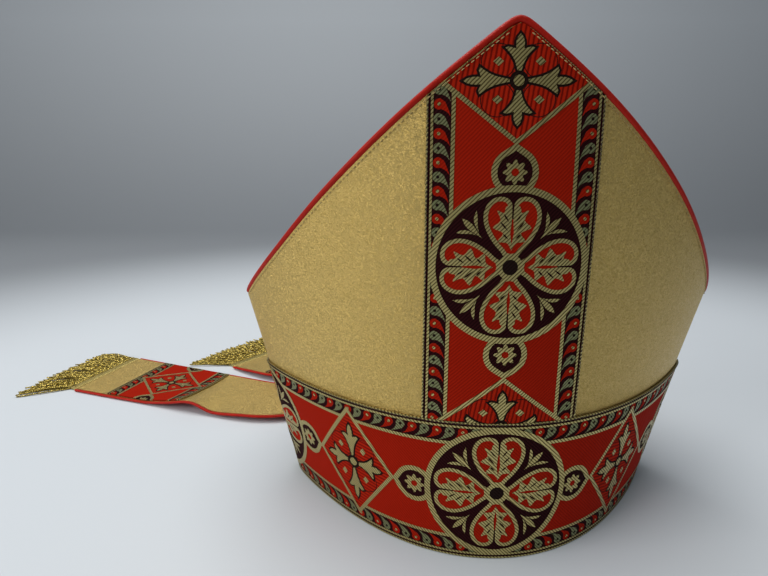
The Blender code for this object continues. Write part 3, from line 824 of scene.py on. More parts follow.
# %% [markdown]
# ## Twill threads
#
# The ribbon is a twill: its threads step sideways from row to row, which draws fine slanted lines.
# They show most in the gold, where pale metal thread crosses a dark ground. A sine wave along the
# diagonal of the cloth's own coordinates gives the lines, the grooves and the colour at once. Inside
# the diamond the ground is ribbed instead, with lines that run nearly along the ribbon.

# %% Galloon finishes
TWILL = 0.00135
RIB = 0.00215
RIB_SLANT = 0.16
WEAR = 0.012


def make_twill(name, ground, thread, roughness, metallic, groove, rib):
    material, tree, shader = start_finish(name, roughness, metallic)
    shader.inputs["Specular IOR Level"].default_value = 0.04
    along, across = cloth_place(tree)
    waver = calc(tree, "MULTIPLY", solid_noise(tree, 0.003), TWILL * 0.5)
    if rib:
        slant = calc(tree, "ADD", across, calc(tree, "MULTIPLY", along, RIB_SLANT))
        pitch = RIB
    else:
        slant = calc(tree, "ADD", along, across)
        pitch = TWILL * math.sqrt(2)
    line = calc(tree, "SINE", calc(tree, "MULTIPLY", calc(tree, "ADD", slant, waver), math.tau / pitch))
    height = node(tree, "MapRange", {0: line, 1: -0.9, 2: 0.3}).outputs[0]
    wear = solid_noise(tree, WEAR)
    aged = node(tree, "MapRange", {0: wear, 1: 0.3, 2: 0.7, 3: 0.82, 4: 1.0}).outputs[0]
    colored = blend_colors(tree, calc(tree, "MULTIPLY", height, aged), ground, thread)
    tree.links.new(colored, shader.inputs["Base Color"])
    raise_bump(tree, shader, height, groove, 0.6)
    return material


# A row for each: ground and thread colours, roughness, metallic, depth of the groove, rib or twill.
GALLOON_THREADS = {
    "red": ((0.27, 0.0085, 0.002), (0.40, 0.014, 0.003), 0.8, 0.0, 0.00008, False),
    "maroon": ((0.010, 0.0015, 0.002), (0.030, 0.005, 0.006), 0.75, 0.0, 0.00008, False),
    "gold": ((0.11, 0.085, 0.026), (0.60, 0.50, 0.21), 0.36, 0.85, 0.00015, False),
    "dark": ((0.008, 0.004, 0.003), (0.020, 0.009, 0.007), 0.75, 0.0, 0.00008, False),
    "rib": ((0.17, 0.005, 0.0015), (0.46, 0.018, 0.004), 0.8, 0.0, 0.00015, True),
    "sage": ((0.07, 0.07, 0.03), (0.27, 0.28, 0.14), 0.45, 0.6, 0.0001, False),
}
galloon_finishes = {key: make_twill("galloon_" + key, *row) for key, row in GALLOON_THREADS.items()}
COLORS = list(galloon_finishes)
print("galloon finishes:", ", ".join(COLORS))

# %% [markdown]
# ## Cutting the pattern into the cloth
#
# A constrained triangulation does what a maker does with scissors: it takes the ribbon's outline, the
# lines along which it bends and every loop, and cuts them all into triangles that never cross a line.
# Each triangle says which loops it lies in, and the last of them gives its colour. Gold triangles are
# raised by a thread's thickness, with a small step round them. Only then is the cloth bent into place.

# %% Cut a flat cloth along loops
def counterclockwise(loop):
    x, y = loop.T
    return loop if x @ np.roll(y, -1) > np.roll(x, -1) @ y else loop[::-1]


def cut_cloth(outline, bends, motifs):
    """Points, triangles and colours of a flat cloth cut along its bends and motifs."""
    loops = [counterclockwise(loop) for loop in [outline] + [loop for _, loop in motifs]]
    starts = np.cumsum([0] + [len(loop) for loop in loops])
    points = np.concatenate(loops + [np.asarray(bends, float).reshape(-1, 2)])
    faces = [list(range(a, b)) for a, b in zip(starts, starts[1:])]
    edges = [(i, i + 1) for i in range(starts[-1], len(points), 2)]
    cut = delaunay_2d_cdt([Vector(p) for p in points.tolist()], edges, faces, 1, 1e-7, True)
    flat, triangles, owners = np.array([tuple(p) for p in cut[0]]), cut[2], cut[5]
    kept = [(t, max(o)) for t, o in zip(triangles, owners) if 0 in o]
    colors = np.array([COLORS.index("red" if top == 0 else motifs[top - 1][0]) for _, top in kept])
    return flat, np.array([t for t, _ in kept]), colors


trial_cut = cut_cloth(strip(0, 1, 1, 0), [((0.5, 0), (0.5, 1))], [])
print("a square with one bend is cut into", len(trial_cut[1]), "triangles")

# %% Weave a piece of galloon
GOLD_RISE = 0.0002
RIBBON = 0.0008


def weave(name, outline, bends, motifs, place, above=CLEARANCE):
    """Piece of galloon; place bends the flat cloth: (along, across, up) to points."""
    flat, triangles, colors = cut_cloth(outline, bends, motifs)
    # The points come in three sheets: the face of the ground, that of the gold, and the under face.
    count = len(flat)
    gold = colors == COLORS.index("gold")
    top = triangles + np.where(gold, count, 0)[:, None]
    # Each side of a triangle finds the triangle beyond it, or none at the rim.
    edges = np.concatenate([triangles[:, [0, 1]], triangles[:, [1, 2]], triangles[:, [2, 0]]])
    owner = np.tile(np.arange(len(triangles)), 3)
    key = np.sort(edges, axis=1) @ (count, 1)
    order = np.argsort(key, kind="stable")
    key, edges, owner = key[order], edges[order], owner[order]
    paired = np.concatenate([key[1:] == key[:-1], [False]])
    partner = np.full(len(key), -1)
    partner[:-1][paired[:-1]] = owner[1:][paired[:-1]]
    partner[1:][paired[:-1]] = owner[:-1][paired[:-1]]
    rim = partner < 0
    step = gold[owner] & (rim | ~gold[partner])
    faces = top.tolist() + (triangles[:, ::-1] + 2 * count).tolist()
    which = list(colors) + [0] * len(triangles)
    # A narrow wall closes each step up to the gold, and another goes round the rim.
    for mask, low, high in ((step, 0, count), (rim, 2 * count, 0)):
        a, b = edges[mask].T
        faces += np.stack([a + low, b + low, b + high, a + high], axis=-1).tolist()
        which += list(colors[owner[mask]])
    # The sheets are bent into place, and points that no face uses are left out.
    ups = np.repeat([above + RIBBON, above + RIBBON + GOLD_RISE, above], count)
    points = place(np.tile(flat[:, 0], 3), np.tile(flat[:, 1], 3), ups)
    used = np.zeros(3 * count, bool)
    used[np.concatenate([np.ravel(face) for face in (top, triangles + 2 * count)])] = True
    used[[corner for face in faces for corner in face]] = True
    renumber = np.cumsum(used) - 1
    faces = [[int(renumber[corner]) for corner in face] for face in faces]
    piece = add_piece(name, points[used], faces, list(galloon_finishes.values()),
                      np.tile(flat, (3, 1))[used], which, crease=35)
    return piece


def bend_lines(alongs, acrosses):
    """Lines across the ribbon at each place along it, and lines along it."""
    alongs, acrosses = np.asarray(alongs), np.asarray(acrosses)
    down = [((s, acrosses[0]), (s, acrosses[-1])) for s in alongs[1:-1]]
    return down + [((alongs[0], t), (alongs[-1], t)) for t in acrosses[1:-1]]


print("galloon is", RIBBON * 1000, "mm thick, and its gold rises by", GOLD_RISE * 1000, "mm more")

# %% [markdown]
# ## The circulus
#
# The band round the rim. A ring sits in the middle of the front, near each side and in the middle of
# the back. The ribbon's repeat doesn't quite fit the head four times, so the back two are eased. The
# band is bent by the same formula as the walls, in finer steps where it turns at the sides.

# %% The circulus
GALLOON_WIDTH = 0.080
QUARTER = float(half_girth(GALLOON_WIDTH / 2))
SEAM_LINES = np.array([-12, -9, -7, -5.5, -4, -3, -2, -1, 1, 2, 3, 4, 5.5, 7, 9, 12]) / 1000


def place_circulus(along, across, up):
    height = CLEARANCE + (across / GALLOON_WIDTH + 0.5) * (GALLOON_WIDTH - CLEARANCE)
    share = along / QUARTER
    behind = abs(share) > 1
    share = np.where(behind, np.sign(share) * (2 - abs(share)), share)
    return wall(np.where(behind, BACK, FRONT), height, share * half_girth(height), up + SEAM_GAP / 2)


half_width = GALLOON_WIDTH / 2
band = strip(-2 * QUARTER, 2 * QUARTER, half_width, -half_width)
stations = np.concatenate([np.linspace(-2, 2, 161) * QUARTER, SEAM_LINES - QUARTER, SEAM_LINES + QUARTER])
band_bends = bend_lines(np.sort(stations), np.linspace(-half_width, half_width, 9))
rings = (-2 * QUARTER, -REPEAT, 0.0, REPEAT, 2 * QUARTER)
band_motifs = galloon_motifs(-2 * QUARTER, 2 * QUARTER, rings, GALLOON_WIDTH)
circulus = weave("circulus_dressed", band, band_bends, band_motifs, place_circulus)
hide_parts("circulus")
print("circulus:", round(4 * QUARTER, 4), "m round")

# %% [markdown]
# ## The orphreys
#
# The same ribbon stands upright on each horn, cut at the top along the horn's edges.

# %% The orphreys
ORPHREY_RING_HEIGHT = 0.1603
ORPHREY_EDGE_INSET = 0.0005


def make_orphrey(side, name):
    bottom = GALLOON_WIDTH + CLEARANCE
    across = np.linspace(-half_width, half_width, 61)
    top = horn_height(across) - ORPHREY_EDGE_INSET
    foot = [(bottom, half_width), (bottom, -half_width)]
    outline = np.concatenate([foot, np.stack([top, across], axis=-1)])

    def place(along, across, up):
        return wall(side, along, side * across, up + SEAM_GAP / 2)

    bends = bend_lines(np.linspace(bottom, HEIGHT, 40), np.linspace(-half_width, half_width, 17))
    rings = (ORPHREY_RING_HEIGHT - REPEAT, ORPHREY_RING_HEIGHT, ORPHREY_RING_HEIGHT + REPEAT)
    motifs = galloon_motifs(bottom, HEIGHT, rings, GALLOON_WIDTH)
    piece = weave(name + "_dressed", outline, bends, motifs, place)
    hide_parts(name)


make_orphrey(FRONT, "front_orphrey")
make_orphrey(BACK, "back_orphrey")

# %% [markdown]
# ## The lappets
#
# Two lined strips hang from the low back of the circulus. Here they are laid out to one side on the
# table: each bends out at the table and runs along a route of headings, and its edges lift in a few
# places. A table for each lappet gives its heading and the lift of both edges, by share of the length.

# %% Sizes and routes of the lappets
LAPPET_LENGTH = 0.300
LAPPET_WIDTH = 0.074
LAPPET_ROOT_WIDTH = 0.058
LAPPET_ROOT_SPACING = 0.100
LAPPET_ROOT_HEIGHT = 0.022
LAPPET_BEND_RADIUS = 0.008
LAPPET_CLOTH = 0.001
LAPPET_LINING = 0.0008
LAPPET_PIPING_RADIUS = 0.0011
LAPPET_FOLD_LIFT = 0.008
LAPPET_STRAIGHTENING = 0.060
LAPPET_PLAN_STEPS = 300
LAPPET_COLUMNS = 25
SHORT_OF_LAST = 1.000001
CIRCULUS_THICKNESS = 0.001

LEFT_LAPPET_ROUTE = {
    "along": (0.00, 0.10, 0.20, 0.30, 0.42, 0.50, 0.58, 0.66, 0.75, 1.00),
    "heading": (118, 158, 192, 202, 168, 161, 161, 161, 161, 160),
    "left_lift": (0.0, 0.7, 0.3, 0.5, 0.45, 0.25, 0.95, 0.45, 0.05, 0.0),
    "right_lift": (0.0, 0.0, 0.0, 0.0, 0.0, 0.0, 0.0, 0.0, 0.0, 0.0),
}
RIGHT_LAPPET_ROUTE = {
    "along": (0.00, 0.10, 0.20, 0.30, 0.50, 0.70, 0.78, 0.86, 0.93, 1.00),
    "heading": (62, 103, 142, 174, 180, 170, 163, 154, 147, 139),
    "left_lift": (0.0, 0.8, 0.7, 1.0, 1.4, 1.5, 1.25, 0.55, 0.38, 0.05),
    "right_lift": (0.0, 0.0, 0.1, 0.2, 0.3, 0.2, 0.1, 0.0, 0.0, 0.0),
}
print("the left lappet ends at", LEFT_LAPPET_ROUTE["heading"][-1], "degrees, the right one at",
      RIGHT_LAPPET_ROUTE["heading"][-1])

# %% [markdown]
# The strip is worked out once, as a grid of points on the under face of its lining, with the way up
# and the way to the left at each of them. Every layer, the cords and the galloon are then laid on it.

# %% The under face of a lappet
class Lappet:
    """Under face of one lappet: rows from the sewn root to the fringe, columns from left to right."""

    def __init__(self, name, root_side, route):
        self.name, self.route = name, route
        self.root_across = root_side * LAPPET_ROOT_SPACING / 2
        self.flap = LAPPET_ROOT_HEIGHT - LAPPET_BEND_RADIUS
        self.foot = self.flap + LAPPET_BEND_RADIUS * math.pi / 2
        self.length = self.foot + LAPPET_LENGTH
        self.columns = np.linspace(1, -1, LAPPET_COLUMNS)
        rows = [np.linspace(0, self.flap, 7)[:-1], np.linspace(self.flap, self.foot, 9)[:-1]]
        self.rows = np.concatenate(rows + [np.linspace(self.foot, self.length, 161)])
        self.trace_middle()
        self.grid = np.array([self.row(run) for run in self.rows])
        ahead = np.gradient(self.grid, self.rows, axis=0)
        self.left = -np.gradient(self.grid, axis=1)
        self.left /= np.linalg.norm(self.left, axis=-1, keepdims=True)
        self.up = np.cross(ahead, self.left)
        self.up /= np.linalg.norm(self.up, axis=-1, keepdims=True)

    def heading(self, share):
        return np.radians(read_table(self.route, "along", "heading", share))

    def root_line(self, height):
        out = CLEARANCE + CIRCULUS_THICKNESS + CLEARANCE
        across = self.root_across - self.columns * LAPPET_ROOT_WIDTH / 2
        return wall(BACK, height, across, out + SEAM_GAP / 2)

    def trace_middle(self):
        start = self.heading(0.0)
        self.out = np.array([math.cos(start), math.sin(start)])
        middle = len(self.columns) // 2
        foot = self.root_line(LAPPET_BEND_RADIUS)[middle, :2] + LAPPET_BEND_RADIUS * self.out
        share = (np.arange(LAPPET_PLAN_STEPS) + 0.5) / LAPPET_PLAN_STEPS
        heading = self.heading(share)
        steps = LAPPET_LENGTH / LAPPET_PLAN_STEPS * np.stack([np.cos(heading), np.sin(heading)], axis=-1)
        self.middle = np.concatenate([[foot], foot + np.cumsum(steps, axis=0)])

    def row(self, run):
        """Points across the lappet at a distance from the top of its root."""
        if run <= self.flap:
            return self.root_line(LAPPET_ROOT_HEIGHT - run)
        if run < self.foot:
            angle = (run - self.flap) / LAPPET_BEND_RADIUS
            points = self.root_line(LAPPET_BEND_RADIUS)
            points[:, :2] += LAPPET_BEND_RADIUS * (1 - math.cos(angle)) * self.out
            points[:, 2] = LAPPET_BEND_RADIUS * (1 - math.sin(angle))
            return points
        share = (run - self.foot) / LAPPET_LENGTH
        heading = self.heading(share)
        shares = np.linspace(0, 1, len(self.middle))
        at = np.array([np.interp(share, shares, axis) for axis in self.middle.T])
        left = np.array([-math.sin(heading), math.cos(heading)])
        width = LAPPET_ROOT_WIDTH + share * (LAPPET_WIDTH - LAPPET_ROOT_WIDTH)
        root = self.root_line(LAPPET_BEND_RADIUS)[:, :2]
        start_left = np.array([-self.out[1], self.out[0]])
        bow = root - root[len(root) // 2] - np.outer(self.columns, start_left) * LAPPET_ROOT_WIDTH / 2
        slack = (1 - min(share * LAPPET_LENGTH / LAPPET_STRAIGHTENING, 1.0)) ** 2
        plan = at + np.outer(self.columns, left) * width / 2 + bow * slack
        left_lift = read_table(self.route, "along", "left_lift", share)
        right_lift = read_table(self.route, "along", "right_lift", share)
        lift = left_lift * ((1 + self.columns) / 2) ** 2 + right_lift * ((1 - self.columns) / 2) ** 2
        return np.column_stack([plan, LAPPET_FOLD_LIFT * lift])

    def at(self, run, across, up):
        """Points above the under face; across runs from 1 at the left edge to -1."""
        row = np.interp(run, self.rows, np.arange(len(self.rows)))
        column = (1 - np.asarray(across)) / 2 * (LAPPET_COLUMNS - 1)
        row = np.clip(row, 0, len(self.rows) - SHORT_OF_LAST)
        column = np.clip(column, 0, LAPPET_COLUMNS - SHORT_OF_LAST)
        r, c = row.astype(int), column.astype(int)
        dr, dc = (row - r)[..., None], (column - c)[..., None]

        def read(grid):
            near = grid[r, c] * (1 - dc) + grid[r, c + 1] * dc
            far = grid[r + 1, c] * (1 - dc) + grid[r + 1, c + 1] * dc
            return near * (1 - dr) + far * dr

        return read(self.grid) + np.asarray(up)[..., None] * read(self.up)


lappets = [Lappet("left_lappet", -1, LEFT_LAPPET_ROUTE), Lappet("right_lappet", 1, RIGHT_LAPPET_ROUTE)]
for lappet in lappets:
    print(lappet.name, "is", round(lappet.length, 4), "m long and ends at", lappet.middle[-1].round(4))

# %% [markdown]
# A lappet is red satin below and gold cloth above, sewn together, with a thin red cord along each of
# its long edges.

# %% Cloth, lining and piping of the lappets
def make_lappet_layers(lappet):
    width = (LAPPET_ROOT_WIDTH + LAPPET_WIDTH) / 2
    along, across = np.meshgrid(lappet.rows, -lappet.columns * width / 2, indexing="ij")
    flat = np.stack([across, along], axis=-1)
    over = LAPPET_LINING + CLEARANCE
    layers = (("lining", 0.0, LAPPET_LINING, red_lining, "red_lining"),
              ("cloth", over, over + LAPPET_CLOTH, gold_cloth, "gold_cloth"))
    for layer, low, high, finish, slot in layers:
        node_name = f"{lappet.name}_{layer}"
        piece = add_slab(node_name + "_dressed", lappet.grid + lappet.up * high,
                         lappet.grid + lappet.up * low, flat, finish)
        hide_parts(node_name)
    seat = LAPPET_PIPING_RADIUS + CLEARANCE
    for edge, column, side in (("left", 0, 1), ("right", -1, -1)):
        path = (lappet.grid[:, column] + side * seat * lappet.left[:, column]
                + LAPPET_PIPING_RADIUS * lappet.up[:, column])
        points, faces, place = sweep(path, LAPPET_PIPING_RADIUS, 10)
        node_name = f"{lappet.name}_{edge}_piping"
        piece = add_piece(node_name + "_dressed", points, faces, [red_cord], place, crease=70)
        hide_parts(node_name)


for lappet in lappets:
    make_lappet_layers(lappet)

# %% [markdown]
# ## Galloon on the lappets
#
# A piece of the same ribbon is sewn across each lappet near its end, with its diamond in the middle
# and its borders running across. It is cut at the lappet's edges, through the ovals.

# %% Galloon on the lappets
LAPPET_GALLOON_TO_FRINGE = 0.036


def make_lappet_galloon(lappet):
    node_name = lappet.name + "_galloon"
    centre = lappet.length - LAPPET_GALLOON_TO_FRINGE - GALLOON_WIDTH / 2
    half = LAPPET_WIDTH / 2
    above = LAPPET_LINING + CLEARANCE + LAPPET_CLOTH + CLEARANCE

    def place(along, across, up):
        return lappet.at(centre + across, -along / half, up)

    bends = bend_lines(np.linspace(-half, half, 21), np.linspace(-half_width, half_width, 21))
    piece = weave(node_name + "_dressed", strip(-half, half, half_width, -half_width), bends,
                  galloon_motifs(-half, half, (-REPEAT / 2, REPEAT / 2), GALLOON_WIDTH), place, above)
    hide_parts(node_name)


for lappet in lappets:
    make_lappet_galloon(lappet)

# %% [markdown]
# ## Bullion fringe
#
# The fringe is a woven header with 90 two-ply metal cords, each folded back on itself and twisted, so
# it ends in a tiny loop. Hair or instances would draw it fast, but the twist is what glitters. So
# each cord is one thin wire that winds down, turns at the tip and winds back up, and two layers of
# them are joined into one mesh.

# %% Metal thread for the fringe
def make_bullion(name, dark, light, roughness):
    material, tree, shader = start_finish(name, roughness, 0.85)
    tone = solid_noise(tree, 0.0012, 2.0)
    spread = node(tree, "MapRange", {0: tone, 1: 0.35, 2: 0.65}).outputs[0]
    tree.links.new(blend_colors(tree, spread, dark, light), shader.inputs["Base Color"])
    raise_bump(tree, shader, solid_noise(tree, 0.0004, 2.0), 0.00015, 0.6)
    return material


gold_bullion = make_bullion("gold_bullion_dressed", (0.20, 0.15, 0.022), (0.72, 0.56, 0.15), 0.27)
header_gold = make_bullion("fringe_header_gold", (0.26, 0.20, 0.05), (0.62, 0.50, 0.19), 0.42)
print("bullion:", gold_bullion.name, header_gold.name)

# %% One cord of the fringe
PLY_RADIUS = 0.00040
PLY_ORBIT = 0.00040
TWIST_PITCH = 0.0030
STEPS_A_TWIST = 7
TIP_LOOP = 1.5


def bullion_cord(start, end, bow, lift, phase):
    """Path of one wire that winds to the tip of the cord and back, in the fringe's own plane."""
    length = math.dist(start, end)
    steps = int(length / TWIST_PITCH * STEPS_A_TWIST)
    t = np.linspace(0, 1, steps)
    centre = np.outer(1 - t, start) + np.outer(t, end)
    ahead = (np.asarray(end) - start) / length
    beside = np.array([-ahead[1], ahead[0]])
    centre += np.outer(np.sin(math.pi * t) * bow, beside)
    turn = phase + t * length / TWIST_PITCH * math.tau
    swing = np.outer(np.cos(turn), beside) * PLY_ORBIT
    height = lift(t)
    down = np.column_stack([centre + swing, height + np.sin(turn) * PLY_ORBIT])
    back = np.column_stack([centre - swing, height - np.sin(turn) * PLY_ORBIT])
    tip = np.array([*(centre[-1] + ahead * PLY_ORBIT * TIP_LOOP), height[-1]])
    return np.concatenate([down, [tip], back[::-1]])


trial_cord = bullion_cord((0.0, 0.0), (0.04, 0.0), 0.0, np.zeros_like, 0.0)
print("a cord of 40 mm winds through", len(trial_cord), "points")

# %% [markdown]
# The header that holds the cords is woven: a flat band with a rib for each pair of them. It is a slab
# again, whose upper face has the ribs as a wave across it and a few rows of weft as one along it.

# %% The header of the fringe
FRINGE_HEADER = 0.010
FRINGE_THICKNESS = 0.0035
HEADER_RIBS = 46
HEADER_ROWS = 4
HEADER_RISE = 0.0006
HEADER_EDGE = 0.0006
HEADER_ROUNDING = 0.001
HEADER_EDGE_DROP = 0.0004


def make_header(lappet, in_place):
    """Woven header; in_place sets points of the fringe's own plane at the lappet's end."""
    across = np.linspace(LAPPET_WIDTH / 2, -LAPPET_WIDTH / 2, HEADER_RIBS * 6 + 1)
    inner = np.linspace(HEADER_EDGE, FRINGE_HEADER - HEADER_EDGE, 13)
    along = np.concatenate([[0.0], inner, [FRINGE_HEADER]]) + CLEARANCE
    grid = np.stack(np.meshgrid(along, across, indexing="ij"), axis=-1)
    rib = abs(np.sin(grid[..., 1] / LAPPET_WIDTH * math.pi * HEADER_RIBS))
    row = abs(np.sin(grid[..., 0] / FRINGE_HEADER * math.pi * HEADER_ROWS))
    inside = np.minimum(grid[..., 0] - CLEARANCE, FRINGE_HEADER + CLEARANCE - grid[..., 0])
    edge = np.minimum(1, inside / HEADER_ROUNDING)
    relief = HEADER_RISE * (2 - rib * (0.5 + 0.5 * row)) + HEADER_EDGE_DROP * (1 - edge)
    height = FRINGE_THICKNESS - relief

    def face(level):
        return in_place(np.column_stack([grid.reshape(-1, 2), level.ravel()])).reshape(*level.shape, 3)

    piece = add_slab(lappet.name + "_header_dressed", face(height), face(np.full_like(height, CLEARANCE)),
                     grid[..., ::-1], header_gold)


print("header:", HEADER_RIBS, "ribs on", LAPPET_WIDTH, "m")

# %% [markdown]
# The cords leave the header side by side in two layers and fan out. No two lie alike, so each draws
# its own length, bow and height from the seeded random numbers.

# %% The fringe
FRINGE_LENGTH = 0.050
FRINGE_SPREAD = 1.36
FRINGE_COMB = 0.0155
ROOT_IN_HEADER = 0.7
UPPER_CORDS = 50
LOWER_CORDS = 40
COMB_SCATTER = 0.0022
LENGTH_SCATTER = (-0.001, 0.003)
BOW_SCATTER = 0.0028
UPPER_SINK = 0.0014
UPPER_ARCH = 0.0032
LOWER_ARCH = 0.0010


def make_fringe(lappet):
    heading = float(lappet.heading(1.0))
    ahead = np.array([math.cos(heading), math.sin(heading)])
    left = np.array([-ahead[1], ahead[0]])

    def in_place(points):
        plan = lappet.middle[-1] + np.outer(points[:, 0], ahead) + np.outer(points[:, 1], left)
        return np.column_stack([plan, points[:, 2]])

    parts = []
    radius = PLY_ORBIT + PLY_RADIUS
    for cords, low in ((LOWER_CORDS, radius), (UPPER_CORDS, FRINGE_THICKNESS - radius)):
        upper = low > radius
        for i in range(cords):
            root = ((i + 0.5) / cords - 0.5) * (LAPPET_WIDTH - 2 * radius)
            comb = FRINGE_COMB + random.uniform(-COMB_SCATTER, COMB_SCATTER)
            tip = root * FRINGE_SPREAD + comb
            shorter = (tip - root) ** 2 / (2 * FRINGE_LENGTH) + random.uniform(*LENGTH_SCATTER)
            sink = random.uniform(0.0, UPPER_SINK) if upper else 0.0
            arch = random.uniform(0.0, UPPER_ARCH if upper else LOWER_ARCH)

            def lift(t, low=low, sink=sink, arch=arch):
                return low - sink * t**2 + arch * np.sin(math.pi * t) ** 2

            bow = random.uniform(-BOW_SCATTER, BOW_SCATTER)
            path = bullion_cord((FRINGE_HEADER * ROOT_IN_HEADER, root), (FRINGE_LENGTH - shorter, tip),
                                bow, lift, random.uniform(0, math.tau))
            parts.append(sweep(in_place(path), PLY_RADIUS, 4))
    points, faces, flat = join_meshes(parts)
    piece = add_piece(lappet.name + "_fringe_dressed", points, faces, [gold_bullion], flat, crease=80)
    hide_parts(lappet.name + "_fringe")
    make_header(lappet, in_place)


for lappet in lappets:
    make_fringe(lappet)

# %% [markdown]
# ## Stitches
#
# The galloon is sewn on by hand with dark thread along both edges, and a row of stitches runs beside
# the piping of the horns. That row is light gold, a painted highlight that stands in for the lit edge
# of the seam. Each stitch is a slim spindle that dips into the cloth at both ends. A row of them is
# one mesh.

# %% A row of stitches
STITCH_WIDTH = 0.0005
STITCH_RISE = 0.00025
STITCH_DIP = 4.4
STITCH_SWELL = np.array([0.4, 0.9, 1.0, 0.9, 0.4])


def make_thread(name, dark, light):
    material, tree, shader = start_finish(name, 0.6)
    tree.links.new(blend_colors(tree, solid_noise(tree, 0.001), dark, light), shader.inputs["Base Color"])
    raise_bump(tree, shader, solid_noise(tree, 0.0003), 0.0001)
    return material


dark_thread = make_thread("dark_thread", (0.020, 0.010, 0.008), (0.07, 0.035, 0.022))
# Light gold for the stitches beside the horn piping: painted highlight of the seam's lit edge.
seam_highlight_thread = make_thread("seam_highlight_thread", (0.30, 0.21, 0.07), (0.55, 0.41, 0.16))


def stitch_row(name, place, alongs, length, thread):
    """Stitches at distances along a line; place(along, up) gives points on the cloth."""
    parts = []
    t = np.linspace(-0.5, 0.5, len(STITCH_SWELL))
    for at in alongs:
        path = place(at + t * length, STITCH_RISE * (1 - STITCH_DIP * t**2))
        parts.append(sweep(path, STITCH_WIDTH / 2 * STITCH_SWELL, 5))
    points, faces, flat = join_meshes(parts)
    return add_piece(name, points, faces, [thread], flat, crease=80)


def along_line(heights, acrosses, side):
    """Line on a wall as (its length, a function for stitches along it)."""
    run = run_along(wall(side, heights, acrosses))

    def place(along, up, above=0.0):
        height = np.interp(along, run, heights)
        across = np.interp(along, run, acrosses)
        return wall(side, height, across, up + above + SEAM_GAP / 2)

    return run[-1], place


print("threads:", dark_thread.name, seam_highlight_thread.name)

# %% Stitches on the orphreys and along the horns
ORPHREY_STITCH, ORPHREY_STITCH_PITCH = 0.0014, 0.0021
EDGE_STITCH, EDGE_STITCH_PITCH = 0.0018, 0.0026
STITCH_FROM_EDGE = 0.0007
HORN_STITCH_DROP = 0.0020
ROW_END = 0.002
POINT_FREE = 0.004
ON_GALLOON = CLEARANCE + RIBBON + GOLD_RISE


def stitch_orphrey(side, hand, name):
    across = hand * (half_width - STITCH_FROM_EDGE)
    top = float(horn_height(across)) - ROW_END
    heights = np.linspace(GALLOON_WIDTH + ROW_END, top, 60)
    length, place = along_line(heights, np.full(60, across), side)
    alongs = np.arange(ORPHREY_STITCH, length - ORPHREY_STITCH, ORPHREY_STITCH_PITCH)
    stitch_row(name, lambda s, up: place(s, up, ON_GALLOON), alongs, ORPHREY_STITCH, dark_thread)


def stitch_horn(side, hand, name):
    """Row beside the piping; where it crosses the galloon it lies on top of it."""
    across = hand * np.linspace(POINT_FREE, CORNER_GIRTH - POINT_FREE, 120)
    heights = horn_height(across) - HORN_STITCH_DROP
    length, place = along_line(heights, across, side)
    on_band = np.where(abs(across) < half_width, ON_GALLOON, 0.0)
    run = np.linspace(0, length, 120)
    alongs = np.arange(ROW_END, length - ROW_END, EDGE_STITCH_PITCH)
    # This row's light gold colour is painted highlight along the lit edge of the seam.
    stitch_row(name, lambda s, up: place(s, up, np.interp(s, run, on_band)), alongs, EDGE_STITCH,
               seam_highlight_thread)


for side, face in ((FRONT, "front"), (BACK, "back")):
    for hand, edge in ((-1, "left"), (1, "right")):
        stitch_orphrey(side, hand, f"{face}_orphrey_{edge}_stitches")
        stitch_horn(side, hand, f"{face}_horn_{edge}_stitches")

# %% Stitches on the circulus
def circulus_edge(along, up):
    return place_circulus(along, np.full_like(along, half_width - STITCH_FROM_EDGE), ON_GALLOON + up)


around = np.arange(-2 * QUARTER + ROW_END, 2 * QUARTER - ROW_END / 2, ORPHREY_STITCH_PITCH)
stitch_row("circulus_stitches", circulus_edge, around, ORPHREY_STITCH, dark_thread)

# %% [markdown]
# ## The table
#
# The mitre stands on a plain pale sweep, a floor that curves up far behind it without an edge. It
# throws light back up onto the band. Its finish is pale round the mitre and fades to a cooler grey
# with the distance, so that the gold stands out against the grey. The fade is measured in the sweep's
# own space, so it looks the same from every side.

# %% The table
TABLE_CENTRE = (0.14, -0.16)
TABLE_EDGE = (0.50, 1.10)
SWEEP_HALF = 6.0
SWEEP_BACK = 1.0
SWEEP_RADIUS = 0.7
TABLE_TOP = -0.0002
PALE = (0.66, 0.71, 0.76)
GREY_LOW, GREY_HIGH = (0.26, 0.28, 0.305), (0.56, 0.60, 0.64)
GREY_RISE = 1.4


def make_sweep_finish():
    """Pale round the mitre, and grey further off."""
    material, tree, shader = start_finish("pale_sweep", 0.7)
    where = node(tree, "TexCoord").outputs["Object"]
    distance = node(tree, "VectorMath", {0: where, 1: (*TABLE_CENTRE, 0.0)}, operation="DISTANCE")
    far = node(tree, "MapRange", {0: distance.outputs["Value"], 1: TABLE_EDGE[0], 2: TABLE_EDGE[1]},
               interpolation_type="SMOOTHSTEP")
    height = node(tree, "SeparateXYZ", {0: where}).outputs[2]
    grey = blend_colors(tree, calc(tree, "MULTIPLY", height, GREY_RISE), GREY_LOW, GREY_HIGH)
    tree.links.new(blend_colors(tree, far.outputs[0], PALE, grey), shader.inputs["Base Color"])
    return material


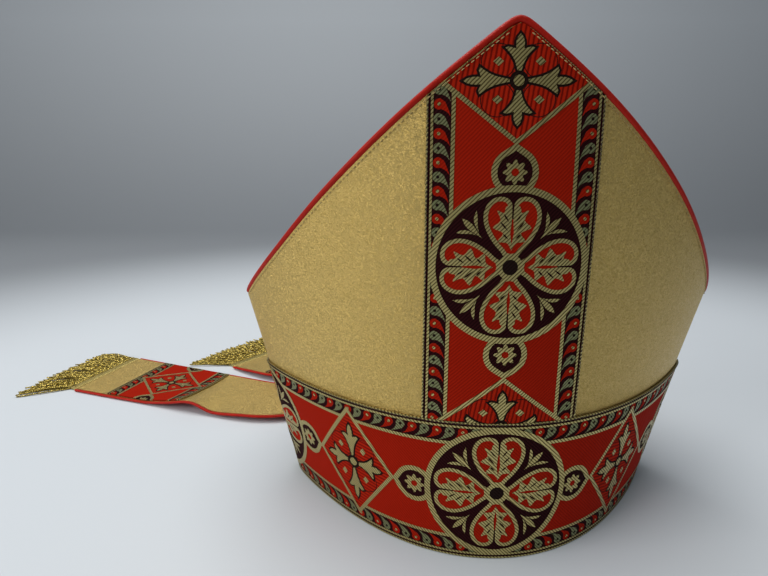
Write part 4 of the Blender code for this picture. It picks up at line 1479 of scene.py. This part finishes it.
turn = np.linspace(0, math.pi / 2, 17)
profile = [(-SWEEP_HALF, 0.0)]
profile += [(SWEEP_BACK + SWEEP_RADIUS * math.sin(a), SWEEP_RADIUS * (1 - math.cos(a))) for a in turn]
profile.append((SWEEP_BACK + SWEEP_RADIUS, SWEEP_HALF))
points = [(x, y, z + TABLE_TOP) for y, z in profile for x in (-SWEEP_HALF, SWEEP_HALF)]
faces = [(2 * i, 2 * i + 1, 2 * i + 3, 2 * i + 2) for i in range(len(profile) - 1)]
mesh = bpy.data.meshes.new("pale_sweep")
mesh.from_pydata(points, [], faces)
mesh.materials.append(make_sweep_finish())
mesh.shade_smooth()
sweep_object = bpy.data.objects.new("pale_sweep", mesh)
bpy.context.scene.collection.objects.link(sweep_object)
print("table:", len(faces), "faces")

# %% [markdown]
# ## The light
#
# An area lamp gives soft shadows in proportion to its size. A large one hangs high above the table, a
# little behind the mitre and to its left. A second stands far to the left, where the metal thread
# finds something bright to mirror. The air itself gives a weak bluish light, so that no shadow turns
# black.

# %% Light
def add_softbox(name, place, aim, size, watts, color):
    light = bpy.data.lights.new(name, "AREA")
    light.shape, light.size = "SQUARE", size
    light.energy, light.color = watts, color
    lamp = bpy.data.objects.new(name, light)
    lamp.location = place
    lamp.rotation_mode = "QUATERNION"
    lamp.rotation_quaternion = (Vector(aim) - Vector(place)).to_track_quat("-Z", "Y")
    bpy.context.scene.collection.objects.link(lamp)


middle = (*HEAD_CENTRE, 0.12)
add_softbox("left_softbox", (-1.9, -0.9, 1.0), middle, 1.2, 22, (1.0, 0.98, 0.95))
add_softbox("overhead_softbox", (-0.1, 0.1, 1.7), middle, 1.3, 23, (1.0, 0.98, 0.95))
world = bpy.data.worlds.new("studio_air")
world.use_nodes = True
world.node_tree.nodes["Background"].inputs["Color"].default_value = (0.86, 0.93, 1.0, 1.0)
world.node_tree.nodes["Background"].inputs["Strength"].default_value = 0.20
bpy.context.scene.world = world
bpy.context.scene.view_settings.view_transform = "Standard"

# %% [markdown]
# ## The camera
#
# It stands close, low and slightly to the left, with a wide lens, so the band bows round the front and
# the point of the horn leans away. A direction and a lens are easier to reason about than three
# angles, so the rotation is made from the direction.

# %% Camera
CAMERA_PLACE = (0.06467, -0.39054, 0.21022)
CAMERA_AHEAD = (0.00045, 0.96604, -0.25841)
LENS = 22.96
camera = bpy.data.objects.new("camera", bpy.data.cameras.new("camera"))
camera.data.sensor_width = 36.0
camera.data.lens = LENS
camera.data.clip_start = 0.01
camera.location = CAMERA_PLACE
camera.rotation_mode = "QUATERNION"
camera.rotation_quaternion = Vector(CAMERA_AHEAD).to_track_quat("-Z", "Y")
bpy.context.scene.collection.objects.link(camera)
bpy.context.scene.camera = camera
print("camera at", CAMERA_PLACE)
